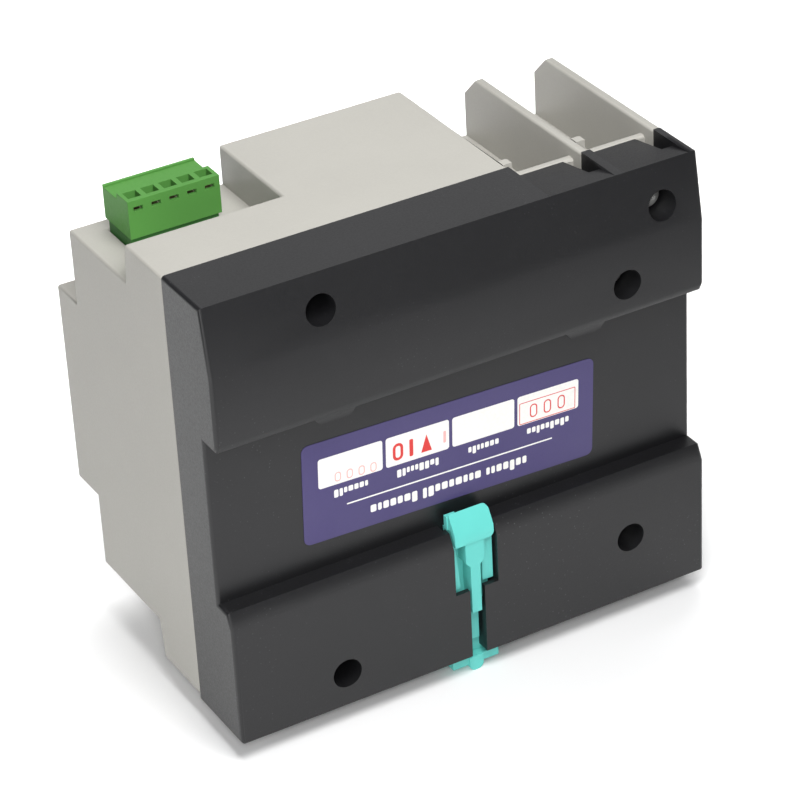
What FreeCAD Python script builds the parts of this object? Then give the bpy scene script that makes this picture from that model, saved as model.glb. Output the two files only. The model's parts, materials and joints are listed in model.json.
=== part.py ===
import FreeCAD, Part
import os
import re
import Sketcher

# A single-phase smart electric meter for a 35 mm rail, six modules wide.
# Frame: X across the case, Y towards the rail and the wall, Z up.  The origin is on the rail's
# centre line, in the plane of the rail channel's floor, at mid-width.  Millimetres throughout.

DIMENSIONS = {
    # rail and case envelope
    "module_width": 18, "module_count": 6, "rail_width": 35, "front_band": 45,
    "shelf_half": 38.7, "end_half": 47.1, "base_top": 47.4, "base_bottom": 48.5,
    "rear_depth": 5.3, "split_depth": 11.9, "notch_depth": 28.5, "notch_slope": 1.2,
    "step_depth": 53.2, "front_depth": 62.1, "wall": 2, "edge_round": 0.8,
    # rear base: channel, facet, lip and shelf
    "channel_width": 36.2, "facet_foot": 33.3, "ridge_inset": 2.35,
    "lip_rise": 1.6, "lip_inset": 0.7, "shelf_drop": 3.3, "shelf_inset": 1.6, "floor_wall": 2.2,
    "hook_width": 8.8, "hook_slant": 1.2, "hook_drop": 1.4, "hook_low": 1.6, "hook_high": 4.6,
    "hook_x_left": -26.9, "hook_x_right": 28.6,
    # screw wells and bosses
    "well_radius": 3.15, "tube_radius": 4.6, "embed": 0.05, "shallow_seat": 2, "deep_seat": 9.5,
    "seat_wall": 1.5,
    "screw_radius": 1.45, "screw_clearance": 0.3, "screw_head_radius": 2.8, "screw_head": 1.9,
    "screw_length": 11, "boss_radius": 3, "column_radius": 2.6, "boss_gap": 0.3, "pilot_play": 0.05,
    "drive_half": 0.35, "drive_reach": 1.5,
    "right_screw_x": 30, "left_screw_x": -36.2, "corner_screw_x": -45,
    "top_screw_z": 40, "corner_screw_z": 38.6, "upper_screw_z": 24.4,
    "lower_screw_z": -34.2, "bottom_screw_z": -41.2, "lower_boss_depth": 24,
    # terminal bays, fins, posts
    "block_half": 20.6, "pole_pitch": 16.7, "fin": 2, "fin_chamfer": 5, "bay_floor": 33,
    "sill_top": 44.8, "tongue": 2.7, "tongue_foot": 41.2, "post_pocket": 2.4,
    "post_pocket_rear": 2.6, "pocket_foot": 40.5, "nub": 2, "nub_top": 46.9, "bay_cavity": 38.5,
    # rail clip and its guide
    "clip_half": 4.4, "guide_half": 5.5, "guide_gap": 2.1, "guide_block": 7.6,
    "window_half": 4.9, "window_foot": 32.7, "slot_half": 1.7, "plate_low": 0.3, "plate_high": 1.8,
    "stem_half": 1.1, "stem_out": 4.9, "stem_end": 38.5, "stem_low_out": 3.3, "stem_low_end": 45.9,
    "neck_half": 2.1, "neck_end": 26.4, "neck_taper": 1.1, "head_foot": 21.8, "head_shoulder": 19.2,
    "head_top": 15.2, "head_top_out": 2.6, "head_gap": 1.3, "head_notch": 17.2,
    "tab_half": 5.3, "tab_top": 49.9, "tab_foot": 51.7, "tab_out": 3.5, "nub_half": 1.6,
    "nub_foot": 53.2, "clip_round": 1.4, "pad_out": 4, "pad_foot": 32.2, "arm_root": 1.4, "arm_tip": 0.4,
    "wing": 0.3, "wing_out": 2.4, "wing_drop": 0.6, "clip_travel": 5,
    # power terminals
    "pole_z": 27.5, "cage_half": 4.8, "cage_tall": 6.4, "cage_side": 1, "cage_front": 2.5,
    "cage_rear": 1.5, "cage_room": 9.7, "bar_depth": 38.8, "bar_thick": 1.5, "bar_half": 3.5,
    "pole_screw_radius": 2.4, "pole_head_radius": 2.9, "pole_head_front": 50.7, "pole_head": 2.4,
    "pole_slot": 0.9, "pole_slot_deep": 1.1, "ledge": 0.7, "thread_gap": 0.15, "access_radius": 3.6,
    "carrier_foot": 20, "carrier_rear": 27, "entry_half": 4.4,
    # signal plug and header
    "signal_x": 37.7, "signal_pitch": 3.81, "signal_count": 5, "plug_width": 19.6,
    "plug_rear": 38.5, "plug_front": 49.7, "plug_foot": 40.9, "plug_top": 49, "plug_ledge": 47.7,
    "plug_step": 43.2, "plug_ridge": 0.7, "plug_ridge_rise": 0.4, "insert_foot": 33,
    "insert_side": 1.1, "insert_gap": 1.8, "header_side": 0.3, "header_rear": 39.3,
    "header_front": 48.9, "header_top": 40.6, "header_foot": 29.6, "header_floor": 31.6,
    "insert_play": 0.15, "entry_side": 2.7, "entry_rear": 39.7, "entry_front": 42.4,
    "clamp_half": 1.3, "clamp_low": 41.9, "clamp_high": 46.4, "clamp_wall": 0.4,
    "clamp_front": 1, "contact_depth": 42.4, "contact_thick": 0.5, "chamber_half": 1.45,
    "chamber_front": 47.2, "small_screw_radius": 0.9, "small_head_radius": 1.15,
    "small_head_front": 49.3, "small_head": 1.5, "small_slot": 0.35, "small_slot_deep": 0.6,
    "small_gap": 0.1, "slot_wide": 2, "slot_tall": 0.9, "slot_z": 47.1, "pin_side": 1,
    "pin_depth": 43.9, "pin_top": 39, "pin_foot": 27.4, "pin_rear": 35.2, "socket_side": 1.9,
    "socket_room": 1.2, "socket_foot": 33.4,
    # front: fascia, window, display, buttons, lights
    "fascia_half": 50, "fascia_z": 18.5, "fascia_deep": 0.6, "play": 0.1, "pane_left": -40,
    "pane_right": 20, "pane_z": 13, "view_rim": 2.8, "pane_thick": 1.3, "glass_rim": 1, "glass_front": 59.6,
    "glass_thick": 2, "backlight_thick": 3, "display_board_rear": 52.8, "board_thick": 1.6,
    "display_board_half": 50, "display_board_z": 19.5, "button_x": 30, "button_step": 13,
    "button_z": -6, "button_radius": 3.9, "button_gap": 0.2, "button_proud": 0.5,
    "flange_radius": 4.8, "flange": 1, "switch_side": 6, "switch_tall": 3.5, "plunger_radius": 1.7,
    "plunger_long": 3, "light_z": 8, "light_radius": 1.5, "light_tall": 4,
    # rear label
    "label_wide": 65.5, "label_tall": 22.1, "label_thick": 0.15, "label_x": 1.7, "label_z": -2.7,
    "label_round": 1.8, "label_askew": 1.93,
    # inside: boards and power parts
    "main_board_front": 8.8, "main_board_half": 50, "main_board_top": 34, "main_board_foot": -30,
    "post_radius": 2.5, "post_x": 46, "post_z_top": 30, "post_z_foot": -26, "board_hole": 5.1,
    "relay_half_z": 12, "relay_front": 43, "relay_rear": 14, "shunt_foot": -20,
    "coil_inner": 3.9, "coil_outer": 7, "coil_half": 5, "core_x": 8, "core_z": -12, "core_wide": 28,
    "core_tall": 30, "core_deep": 22, "winding_wide": 18, "winding_tall": 21, "winding_deep": 17,
    "film_wide": 18, "film_tall": 15, "film_deep": 8, "film_x": -6, "film_z": 21,
    "can_radius": 5, "can_long": 20, "can_x": 32, "can_z": -20, "can_step": 12,
    "disc_radius": 6.5, "disc_thick": 4.4, "disc_x": 8, "disc_z": 22, "cell_radius": 6,
    "cell_tall": 5, "cell_x": 40, "cell_z": 0, "chip_side": 10, "chip_tall": 1.4, "chip_x": -12,
    "chip_step": 14, "chip_z": -8, "chip_count": 3,
    "opto_count": 3, "opto_wide": 5, "opto_tall": 8, "opto_deep": 3.5, "opto_x": 30,
    "opto_step": 8, "opto_z": 20,
    "side_board_left": 24, "side_board_right": 51, "side_board_foot": 10, "side_board_top": 36,
    "side_board_rear": 36.2, "spacer_radius": 2.4, "spacer_z": 13, "spacer_inset": 2.9,
    "ribbon_left": 42, "ribbon_wide": 8, "ribbon_thick": 0.9, "ribbon_z": -11,
}

doc = FreeCAD.newDocument("smart_meter")
sheet = doc.addObject("Spreadsheet::Sheet", "d")
for row, (word, number) in enumerate(DIMENSIONS.items(), 1):
    sheet.set(f"A{row}", str(number))
    sheet.setAlias(f"A{row}", word)
doc.recompute()

TINY = 1e-6
CASE_HALF = "(module_width * module_count / 2)"
LIP = "(rail_width / 2)"
SHELF = "(rail_width / 2 - channel_width)"
TURNED = {
    "x": FreeCAD.Rotation(FreeCAD.Vector(0, 0, 1), FreeCAD.Vector(1, 0, 0)),
    "y": FreeCAD.Rotation(FreeCAD.Vector(0, 0, 1), FreeCAD.Vector(0, 1, 0)),
    "z": FreeCAD.Rotation(),
}
PAIR = range(2)
SIGNAL_WAYS = range(DIMENSIONS["signal_count"])
WAY_WORDS = ("one", "two", "three", "four", "five")
nodes = []


# ---------------------------------------------------------------- helpers

def bound(text):
    """A formula in plain dimension names, written the way the document reads the sheet."""
    return re.sub(r"[a-z][a-z_]*", lambda word: "d." + word.group(), text)


def number(text):
    """The present value of a formula."""
    return float(sheet.evalExpression(bound(text)))


def node(piece, label):
    """Marks an object as a sub-part, named label."""
    piece.Label = label
    nodes.append(piece)
    return piece


def box(name, x, y, z):
    """A block between the low and high formulas on each axis."""
    block = doc.addObject("Part::Box", name)
    for size, base, (low, high) in zip(("Length", "Width", "Height"), "xyz", (x, y, z)):
        block.setExpression(size, bound(f"({high}) - ({low})"))
        block.setExpression("Placement.Base." + base, bound(low))
    return block


def rod(name, radius, axis, start, end):
    """A round bar along one axis; start is its low end's centre, end its high coordinate."""
    bar = doc.addObject("Part::Cylinder", name)
    bar.Placement = FreeCAD.Placement(FreeCAD.Vector(), TURNED[axis])
    bar.setExpression("Radius", bound(radius))
    bar.setExpression("Height", bound(f"({end}) - ({start['xyz'.index(axis)]})"))
    for base, formula in zip("xyz", start):
        bar.setExpression("Placement.Base." + base, bound(formula))
    return bar


def joined(name, pieces):
    """One object made of several, fused where they touch."""
    union = doc.addObject("Part::MultiFuse", name)
    union.Shapes = pieces
    return union


def trimmed(name, base, tools):
    """The base with every tool taken away."""
    result = doc.addObject("Part::Cut", name)
    result.Base = base
    result.Tool = tools[0] if len(tools) == 1 else joined(name + "_tools", tools)
    return result


def rectangle(across, up):
    """The four corners of a rectangle between two pairs of formulas."""
    return [(across[0], up[0]), (across[1], up[0]), (across[1], up[1]), (across[0], up[1])]


def mirrored(points):
    """An outline's upper half and its mirror image below the centre line."""
    return points + [(across, f"-({up})") for across, up in reversed(points)]


def fix(sketch, index, point, across, up):
    """Ties one sketch point to two formulas."""
    for kind, formula in (("DistanceX", across), ("DistanceY", up)):
        rule = sketch.addConstraint(Sketcher.Constraint(kind, -1, 1, index, point, number(formula)))
        sketch.setExpression(f"Constraints[{rule}]", bound(formula))


def draw_polygon(sketch, points):
    corners = [FreeCAD.Vector(number(across), number(up), 0) for across, up in points]
    first = sketch.GeometryCount
    count = len(points)
    for index, corner in enumerate(corners):
        sketch.addGeometry(Part.LineSegment(corner, corners[(index + 1) % count]))
    for index, (across, up) in enumerate(points):
        following = first + (index + 1) % count
        sketch.addConstraint(Sketcher.Constraint("Coincident", first + index, 2, following, 1))
        fix(sketch, first + index, 1, across, up)


def draw_circle(sketch, centre, radius):
    across, up = centre
    middle = FreeCAD.Vector(number(across), number(up), 0)
    index = sketch.addGeometry(Part.Circle(middle, FreeCAD.Vector(0, 0, 1), number(radius)))
    fix(sketch, index, 3, across, up)
    rule = sketch.addConstraint(Sketcher.Constraint("Radius", index, number(radius)))
    sketch.setExpression(f"Constraints[{rule}]", bound(radius))


def extruded(body, name, plane, start, end, polygons=(), circles=(), cut=False):
    """Pads or pockets outlines from start to end: up X from YZ, up Z from XY, down Y from XZ."""
    sketch = body.newObject("Sketcher::SketchObject", name + "_sketch")
    faces = [face for face in body.Origin.OriginFeatures if face.Role == plane + "_Plane"]
    sketch.AttachmentSupport = [(faces[0], "")]
    sketch.MapMode = "FlatFace"
    offset = f"-({start})" if plane == "XZ" else start
    length = f"({start}) - ({end})" if plane == "XZ" else f"({end}) - ({start})"
    sketch.setExpression(".AttachmentOffset.Base.z", bound(offset))
    for points in polygons:
        draw_polygon(sketch, points)
    for centre, radius in circles:
        draw_circle(sketch, centre, radius)
    feature = body.newObject("PartDesign::Pocket" if cut else "PartDesign::Pad", name)
    feature.Profile = sketch
    feature.Reversed = cut
    feature.setExpression("Length", bound(length))
    return feature


def rounded(body, name, radius, wanted):
    """Rounds the edges of the body whose ends both satisfy wanted."""
    doc.recompute()
    base = body.Tip
    names = []
    for index, edge in enumerate(base.Shape.Edges, 1):
        ends = [vertex.Point for vertex in edge.Vertexes]
        if len(ends) == 2 and wanted(ends[0], ends[1]):
            names.append(f"Edge{index}")
    fillet = body.newObject("PartDesign::Fillet", name)
    fillet.Base = (base, names)
    fillet.setExpression("Radius", bound(radius))
    return fillet


def pole_x(index):
    """The middle of one terminal bay, counted from the middle block."""
    return f"(-block_half - (pole_pitch - fin) / 2 - pole_pitch * {index})"


def fin_x(index):
    """The two faces of one partition fin."""
    outer = f"(-block_half - pole_pitch * {index + 1})"
    return outer, f"{outer} + fin"


def way_x(index):
    """The middle of one way of the signal plug."""
    return f"(signal_x + signal_pitch * ({index} - (signal_count - 1) / 2))"


SHALLOW_SCREWS = [("corner_screw_x", "corner_screw_z"), ("left_screw_x", "upper_screw_z"),
                  ("left_screw_x", "lower_screw_z")]
DEEP_SCREWS = [("right_screw_x", "top_screw_z"), ("right_screw_x", "bottom_screw_z")]


# ---------------------------------------------------------------- case

def rear_base():
    """The black base: rail channel, fixed hooks, screw wells, clip guide and bay ramp."""
    body = doc.addObject("PartDesign::Body", "rear_base")
    left, right = f"-{CASE_HALF}", CASE_HALF
    ridge = "rear_depth - ridge_inset"
    outline = [("-split_depth", "-base_bottom"), ("rear_depth", "-base_bottom"),
               ("rear_depth", f"{SHELF} - shelf_drop"), ("rear_depth - shelf_inset", SHELF),
               ("0", SHELF), ("0", LIP), ("rear_depth - lip_inset", LIP),
               ("rear_depth", f"{LIP} + lip_rise"), ("rear_depth", "facet_foot"),
               (ridge, "base_top"), ("-split_depth", "base_top")]
    extruded(body, "case_block", "YZ", left, right, [outline])
    split = -number("split_depth")

    def round_the_side(one, two):
        in_side_face = abs(one.x - two.x) < TINY
        return in_side_face and max(one.y, two.y) > split + TINY

    rounded(body, "side_rounds", "edge_round", round_the_side)
    ramp = [("-split_depth", "sill_top"), (ridge, "base_top"), (ridge, "base_top + wall"),
            ("-split_depth", "base_top + wall")]
    for index in PAIR:
        outer, inner = fin_x(index)
        extruded(body, f"ramp_{index}", "YZ", inner, f"{outer} + pole_pitch", [ramp], cut=True)
        low_x, high_x = inner, f"{inner} + post_pocket"
        pocket = rectangle(("-split_depth - wall", "-post_pocket_rear"), ("pocket_foot", "base_top + wall"))
        extruded(body, f"post_pocket_{index}", "YZ", low_x, high_x, [pocket], cut=True)
        seat = rectangle(("-split_depth - wall", "-split_depth + tongue + play * 2"),
                         ("pocket_foot", "base_top + wall"))
        extruded(body, f"tongue_seat_{index}", "YZ", f"{outer} - wall", inner, [seat], cut=True)
    inner_left, inner_right = f"-{CASE_HALF} + wall", f"{CASE_HALF} - wall"
    main = rectangle(("-split_depth - wall", "-floor_wall"), ("-base_bottom + wall", "bay_cavity"))
    extruded(body, "cavity", "YZ", inner_left, inner_right, [main], cut=True)
    high = rectangle(("-split_depth - wall", "-floor_wall"), ("bay_cavity - wall", "base_top - wall"))
    extruded(body, "cavity_top", "YZ", "-block_half + wall", inner_right, [high], cut=True)
    upper = rectangle(("-floor_wall - wall", "rear_depth - wall"), (f"{LIP} + wall", "facet_foot"))
    extruded(body, "upper_hollow", "YZ", inner_left, inner_right, [upper], cut=True)
    lower = rectangle(("-floor_wall - wall", "rear_depth - wall"),
                      ("-base_bottom + wall", f"{SHELF} - shelf_inset - wall"))
    extruded(body, "lower_hollow_left", "YZ", inner_left, "-guide_block", [lower], cut=True)
    extruded(body, "lower_hollow_right", "YZ", "guide_block", inner_right, [lower], cut=True)
    boss_posts = [((f"{sign}post_x", height), "post_radius")
                  for sign in ("", "-") for height in ("post_z_top", "post_z_foot")]
    extruded(body, "board_posts", "XZ", "rear_depth - wall + embed", "-main_board_front + board_thick",
             circles=boss_posts)
    for name, places, seat_depth in (("shallow", SHALLOW_SCREWS, "shallow_seat"),
                                     ("deep", DEEP_SCREWS, "deep_seat")):
        end = f"-{seat_depth} - seat_wall"
        tubes = [(place, "tube_radius") for place in places]
        extruded(body, name + "_tubes", "XZ", "rear_depth - wall + embed", end, circles=tubes)
        wells = [(place, "well_radius") for place in places]
        extruded(body, name + "_wells", "XZ", "rear_depth + wall", f"-{seat_depth}", circles=wells, cut=True)
        holes = [(place, "screw_radius + screw_clearance") for place in places]
        extruded(body, name + "_holes", "XZ", "0", f"{end} - wall", circles=holes, cut=True)
    socket = [(SHALLOW_SCREWS[0], "boss_radius + boss_gap")]
    extruded(body, "corner_socket", "XZ", "-shallow_seat - seat_wall", "-split_depth - wall",
             circles=socket, cut=True)
    guide = rectangle(("0", "guide_gap"), ("-base_bottom - wall", f"{SHELF} + wall"))
    extruded(body, "clip_guide", "YZ", "-guide_half", "guide_half", [guide], cut=True)
    window = rectangle(("0", "rear_depth + wall"), ("-window_foot", f"{SHELF} + wall"))
    extruded(body, "clip_window", "YZ", "-window_half", "window_half", [window], cut=True)
    slot = rectangle(("0", "rear_depth + wall"), ("-base_bottom - wall", "-window_foot + wall"))
    extruded(body, "clip_slot", "YZ", "-slot_half", "slot_half", [slot], cut=True)
    pocket = rectangle(("0", "pad_out + play * 2"),
                       ("-pad_foot - clip_travel - play * 3", "-window_foot + wall"))
    extruded(body, "pad_pocket", "YZ", "-window_half", "window_half", [pocket], cut=True)
    for name, middle in (("left_hook", "hook_x_left"), ("right_hook", "hook_x_right")):
        hook = [(f"{middle} - hook_width / 2", f"{LIP} + wall / 2"), (f"{middle} - hook_width / 2", LIP),
                (f"{middle} - hook_width / 2 + hook_slant", f"{LIP} - hook_drop"),
                (f"{middle} + hook_width / 2 - hook_slant", f"{LIP} - hook_drop"),
                (f"{middle} + hook_width / 2", LIP), (f"{middle} + hook_width / 2", f"{LIP} + wall / 2")]
        extruded(body, name, "XZ", "hook_high", "hook_low", [hook])
    return node(body, "rear_base")


def housing_profile(kind, inset):
    """One side profile of the housing, drawn in by inset: notched, full or bay."""
    front = [(f"-step_depth + {inset}", f"front_band / 2 - {inset}"),
             (f"-front_depth + {inset}", f"front_band / 2 - {inset}")]
    if kind == "notched":
        back = [("-split_depth", f"end_half - {inset}"),
                (f"-notch_depth + notch_slope + {inset}", f"end_half - {inset}"),
                (f"-notch_depth + {inset}", f"shelf_half - {inset}"),
                (f"-step_depth + {inset}", f"shelf_half - {inset}")]
    else:
        height = "end_half" if kind == "full" else "bay_floor"
        back = [("-split_depth", f"{height} - {inset}"), (f"-step_depth + {inset}", f"{height} - {inset}")]
    return mirrored(back + front)


def front_housing():
    """The grey stepped cover: notch, middle block, terminal bays, fins and the front band."""
    body = doc.addObject("PartDesign::Body", "front_housing")
    left, right = f"-{CASE_HALF}", CASE_HALF
    spans = {"notched": ("block_half", right), "full": ("-block_half", "block_half"),
             "bay": (left, "-block_half")}
    for kind, (low, high) in spans.items():
        extruded(body, kind + "_part", "YZ", low, high, [housing_profile(kind, "0")])
    sill = rectangle(("-split_depth - wall", "-split_depth"), ("bay_floor - wall", "sill_top"))
    under_sill = rectangle(("-split_depth - wall", "-split_depth"), ("-end_half", "-bay_floor + wall"))
    extruded(body, "sills", "YZ", left, "-block_half", [sill, under_sill])
    top_fin = [("-split_depth - wall", "bay_floor - wall"), ("-step_depth", "bay_floor - wall"),
               ("-step_depth", "end_half - fin_chamfer"), ("-step_depth + fin_chamfer", "end_half"),
               ("-split_depth + tongue", "end_half"), ("-split_depth + tongue", "tongue_foot"),
               ("-split_depth - wall", "tongue_foot")]
    low_fin = [("-split_depth - wall", "-bay_floor + wall"), ("-step_depth", "-bay_floor + wall"),
               ("-step_depth", "-end_half + fin_chamfer"), ("-step_depth + fin_chamfer", "-end_half"),
               ("-split_depth - wall", "-end_half")]
    for index in PAIR:
        outer, inner = fin_x(index)
        extruded(body, f"fins_{index}", "YZ", outer, inner, [top_fin, low_fin])
        nub = rectangle(("-split_depth - wall - nub", "-split_depth - wall"), ("bay_floor", "nub_top"))
        extruded(body, f"corner_nub_{index}", "YZ", f"{outer} + pole_pitch - nub", f"{outer} + pole_pitch",
                 [nub])
    cavities = {"notched": ("block_half - wall * 2", f"{right} - wall"),
                "full": ("-block_half + wall", "block_half - wall"),
                "bay": (f"{left} + wall", "-block_half + wall * 2")}
    for kind, (low, high) in cavities.items():
        extruded(body, kind + "_cavity", "YZ", low, high, [housing_profile(kind, "wall")], cut=True)
    tip = "-shallow_seat - seat_wall"
    deep_tip = "-deep_seat - seat_wall"
    deep = [(place, "boss_radius") for place in DEEP_SCREWS]
    extruded(body, "notch_bosses", "XZ", deep_tip, "-notch_depth + notch_slope", circles=deep)
    extruded(body, "corner_boss", "XZ", tip, "-split_depth - wall",
             circles=[(SHALLOW_SCREWS[0], "boss_radius")])
    column = [(SHALLOW_SCREWS[1], "column_radius")]
    extruded(body, "tall_boss", "XZ", tip, "-step_depth + wall / 2", circles=column)
    extruded(body, "fin_boss", "XZ", tip, "-lower_boss_depth", circles=[(SHALLOW_SCREWS[2], "boss_radius")])
    for name, places, start in (("shallow", SHALLOW_SCREWS, tip), ("deep", DEEP_SCREWS, deep_tip)):
        pilots = [(place, "screw_radius + pilot_play") for place in places]
        stop = f"{start} - screw_length + seat_wall - boss_gap"
        extruded(body, name + "_pilots", "XZ", start, stop, circles=pilots, cut=True)
    access = [((pole_x(index), f"{sign}pole_z"), "access_radius") for index in PAIR for sign in ("", "-")]
    extruded(body, "screw_access", "XZ", "-step_depth + wall + play * 2", "-step_depth - wall",
             circles=access, cut=True)
    for index in PAIR:
        entry = rectangle(("-bar_depth + bar_thick", "-bar_depth + cage_room - play * 2"),
                          ("bay_floor - wall - play * 2", "bay_floor + wall"))
        low_entry = [(across, f"-({up})") for across, up in entry]
        extruded(body, f"wire_entries_{index}", "YZ", f"{pole_x(index)} - entry_half",
                 f"{pole_x(index)} + entry_half", [entry, low_entry], cut=True)
    header = rectangle(("signal_x - plug_width / 2 + header_side - play",
                        "signal_x + plug_width / 2 - header_side + play"),
                       ("-header_front - play", "-header_rear + play"))
    extruded(body, "plug_opening", "XY", "shelf_half - wall - play * 2", "shelf_half + wall", [header],
             cut=True)
    recess = rectangle(("-fascia_half", "fascia_half"), ("-fascia_z", "fascia_z"))
    extruded(body, "fascia_recess", "XZ", "-front_depth + fascia_deep", "-front_depth - wall", [recess],
             cut=True)
    pane = rectangle(("pane_left", "pane_right"), ("-pane_z", "pane_z"))
    extruded(body, "pane_opening", "XZ", "-front_depth + wall + play * 2", "-front_depth - wall", [pane],
             cut=True)
    holes = [((f"button_x + button_step * {index}", "button_z"), "button_radius + button_gap")
             for index in PAIR]
    holes += [((f"button_x + button_step * {index}", "light_z"), "light_radius + play") for index in PAIR]
    extruded(body, "front_holes", "XZ", "-front_depth + wall + play * 2", "-front_depth - wall",
             circles=holes, cut=True)
    return node(body, "front_housing")


def case_screws():
    """Pan-head screws, driven from the rear through the base into the housing's bosses."""
    for label, places, seat_depth in (("shallow_case_screws", SHALLOW_SCREWS, "shallow_seat"),
                                      ("deep_case_screws", DEEP_SCREWS, "deep_seat")):
        solids = []
        for index, (across, up) in enumerate(places):
            name = f"{label}_{index}"
            head = rod(name + "_head", "screw_head_radius", "y", (across, f"-{seat_depth}", up),
                       f"-{seat_depth} + screw_head")
            shank = rod(name + "_shank", "screw_radius", "y", (across, f"-{seat_depth} - screw_length", up),
                        f"-{seat_depth}")
            arms = (("drive_half", "drive_reach"), ("drive_reach", "drive_half"))
            crossed = [box(f"{name}_drive_{turn}", (f"{across} - {wide}", f"{across} + {wide}"),
                           (f"-{seat_depth} + screw_head / 2", f"-{seat_depth} + screw_head * 2"),
                           (f"{up} - {tall}", f"{up} + {tall}"))
                       for turn, (wide, tall) in enumerate(arms)]
            solids.append(trimmed(name, joined(name + "_blank", [head, shank]), crossed))
        node(joined(label, solids), label)


def rear_label():
    """The sticker on the channel floor, stuck on a little askew."""
    body = doc.addObject("PartDesign::Body", "rear_label")
    sheet_outline = rectangle(("-label_wide / 2", "label_wide / 2"), ("-label_tall / 2", "label_tall / 2"))
    extruded(body, "label_sheet", "XZ", "label_thick", "0", [sheet_outline])
    thick = number("label_thick")

    def through_the_sheet(one, two):
        return abs(one.y - two.y) > thick / 2

    rounded(body, "label_corners", "label_round", through_the_sheet)
    askew = FreeCAD.Rotation(FreeCAD.Vector(0, 1, 0), -number("label_askew"))
    body.Placement = FreeCAD.Placement(FreeCAD.Vector(number("label_x"), 0, number("label_z")), askew)
    return node(body, "rear_label")


# ---------------------------------------------------------------- rail clip

def din_clip():
    """The sliding rail clip: guided plate, raised stem, neck and pads, wedge head and pull tab."""
    body = doc.addObject("PartDesign::Body", "din_clip")
    plate = rectangle(("-clip_half", "clip_half"), ("-tab_foot", f"{SHELF} - play"))
    extruded(body, "plate", "XZ", "plate_high", "plate_low", [plate])
    neck = [("-neck_half", "-head_foot + play"), ("-neck_half", "-neck_end"),
            ("-stem_half", "-neck_end - neck_taper"),
            ("-stem_half", "-stem_end"), ("stem_half", "-stem_end"), ("stem_half", "-neck_end - neck_taper"),
            ("neck_half", "-neck_end"), ("neck_half", "-head_foot + play")]
    extruded(body, "stem", "XZ", "stem_out", "plate_high", [neck])
    low_stem = rectangle(("-stem_half", "stem_half"), ("-stem_low_end", "-stem_end"))
    extruded(body, "low_stem", "XZ", "stem_low_out", "plate_high", [low_stem])
    pad = rectangle(("-clip_half", "-neck_half + play"), ("-pad_foot", "-head_foot + play"))
    arm = [("clip_half", "-pad_foot"), ("clip_half", "-head_foot + play"),
           ("clip_half - arm_tip", "-head_foot + play"), ("clip_half - arm_root", "-pad_foot")]
    extruded(body, "side_pads", "XZ", "pad_out", "plate_high", [pad, arm])
    wedge = [("stem_out + play * 2", "-head_foot"), ("stem_out", "-head_shoulder"),
             ("head_top_out", "-head_top"),
             ("head_gap", "-head_notch"), ("head_gap", f"{SHELF} - play"),
             ("plate_high / 2", f"{SHELF} - play"),
             ("plate_high / 2", "-head_foot")]
    extruded(body, "wedge_head", "YZ", "-clip_half", "clip_half", [wedge])
    wing = rectangle(("head_gap", "wing_out"), (f"{SHELF} - play", "-head_top - wing_drop"))
    extruded(body, "head_wing", "YZ", "clip_half - wall", "clip_half + wing", [wing])
    tab = rectangle(("plate_low", "tab_out"), ("-tab_foot", "-tab_top"))
    extruded(body, "pull_tab", "YZ", "-tab_half", "tab_half", [tab])
    grip = rectangle(("plate_low", "tab_out + play * 3"), ("-nub_foot", "-tab_top - play"))
    extruded(body, "grip_nub", "YZ", "-nub_half", "nub_half", [grip])
    foot = -number("nub_foot")

    def at_the_foot(one, two):
        along_depth = abs(one.x - two.x) < TINY
        return along_depth and max(one.z, two.z) < foot + TINY

    rounded(body, "nub_round", "clip_round", at_the_foot)
    return node(body, "din_clip")


# ---------------------------------------------------------------- power terminals

POLES = [("live_out", 0, ""), ("neutral_out", 1, ""), ("live_in", 0, "-"), ("neutral_in", 1, "-")]


def slotted_screw(name, head_radius, head, shank_radius, front, tip, across, up, slot, slot_deep):
    """A slotted screw along Y: its head's face at -front, its tip at -tip."""
    cap = rod(name + "_head", head_radius, "y", (across, f"-{front}", up), f"-{front} + {head}")
    shank = rod(name + "_shank", shank_radius, "y", (across, f"-{front} + {head} / 2", up), f"-{tip}")
    groove = box(name + "_groove", (f"{across} - {slot} / 2", f"{across} + {slot} / 2"),
                 (f"-{front} - {head}", f"-{front} + {slot_deep}"),
                 (f"{up} - {head_radius} * 2", f"{up} + {head_radius} * 2"))
    return node(trimmed(name, joined(name + "_blank", [cap, shank]), [groove]), name)


def rising_cage(name, across, up):
    """The square ring that the screw draws up against the busbar, with the wire inside it."""
    front = "(-bar_depth - cage_front - play * 2)"
    rear = "(-bar_depth - play * 2 + cage_room + cage_rear)"
    ring = box(name + "_ring", (f"{across} - cage_half", f"{across} + cage_half"), (front, rear),
               (f"{up} - cage_tall / 2", f"{up} + cage_tall / 2"))
    room = box(name + "_room", (f"{across} - cage_half + cage_side", f"{across} + cage_half - cage_side"),
               (f"{front} + cage_front", f"{rear} - cage_rear"), (f"{up} - cage_tall", f"{up} + cage_tall"))
    thread = rod(name + "_thread", "pole_screw_radius + thread_gap", "y", (across, f"{front} - wall", up),
                 f"{front} + cage_front + play")
    return node(trimmed(name, ring, [room, thread]), name)


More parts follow.
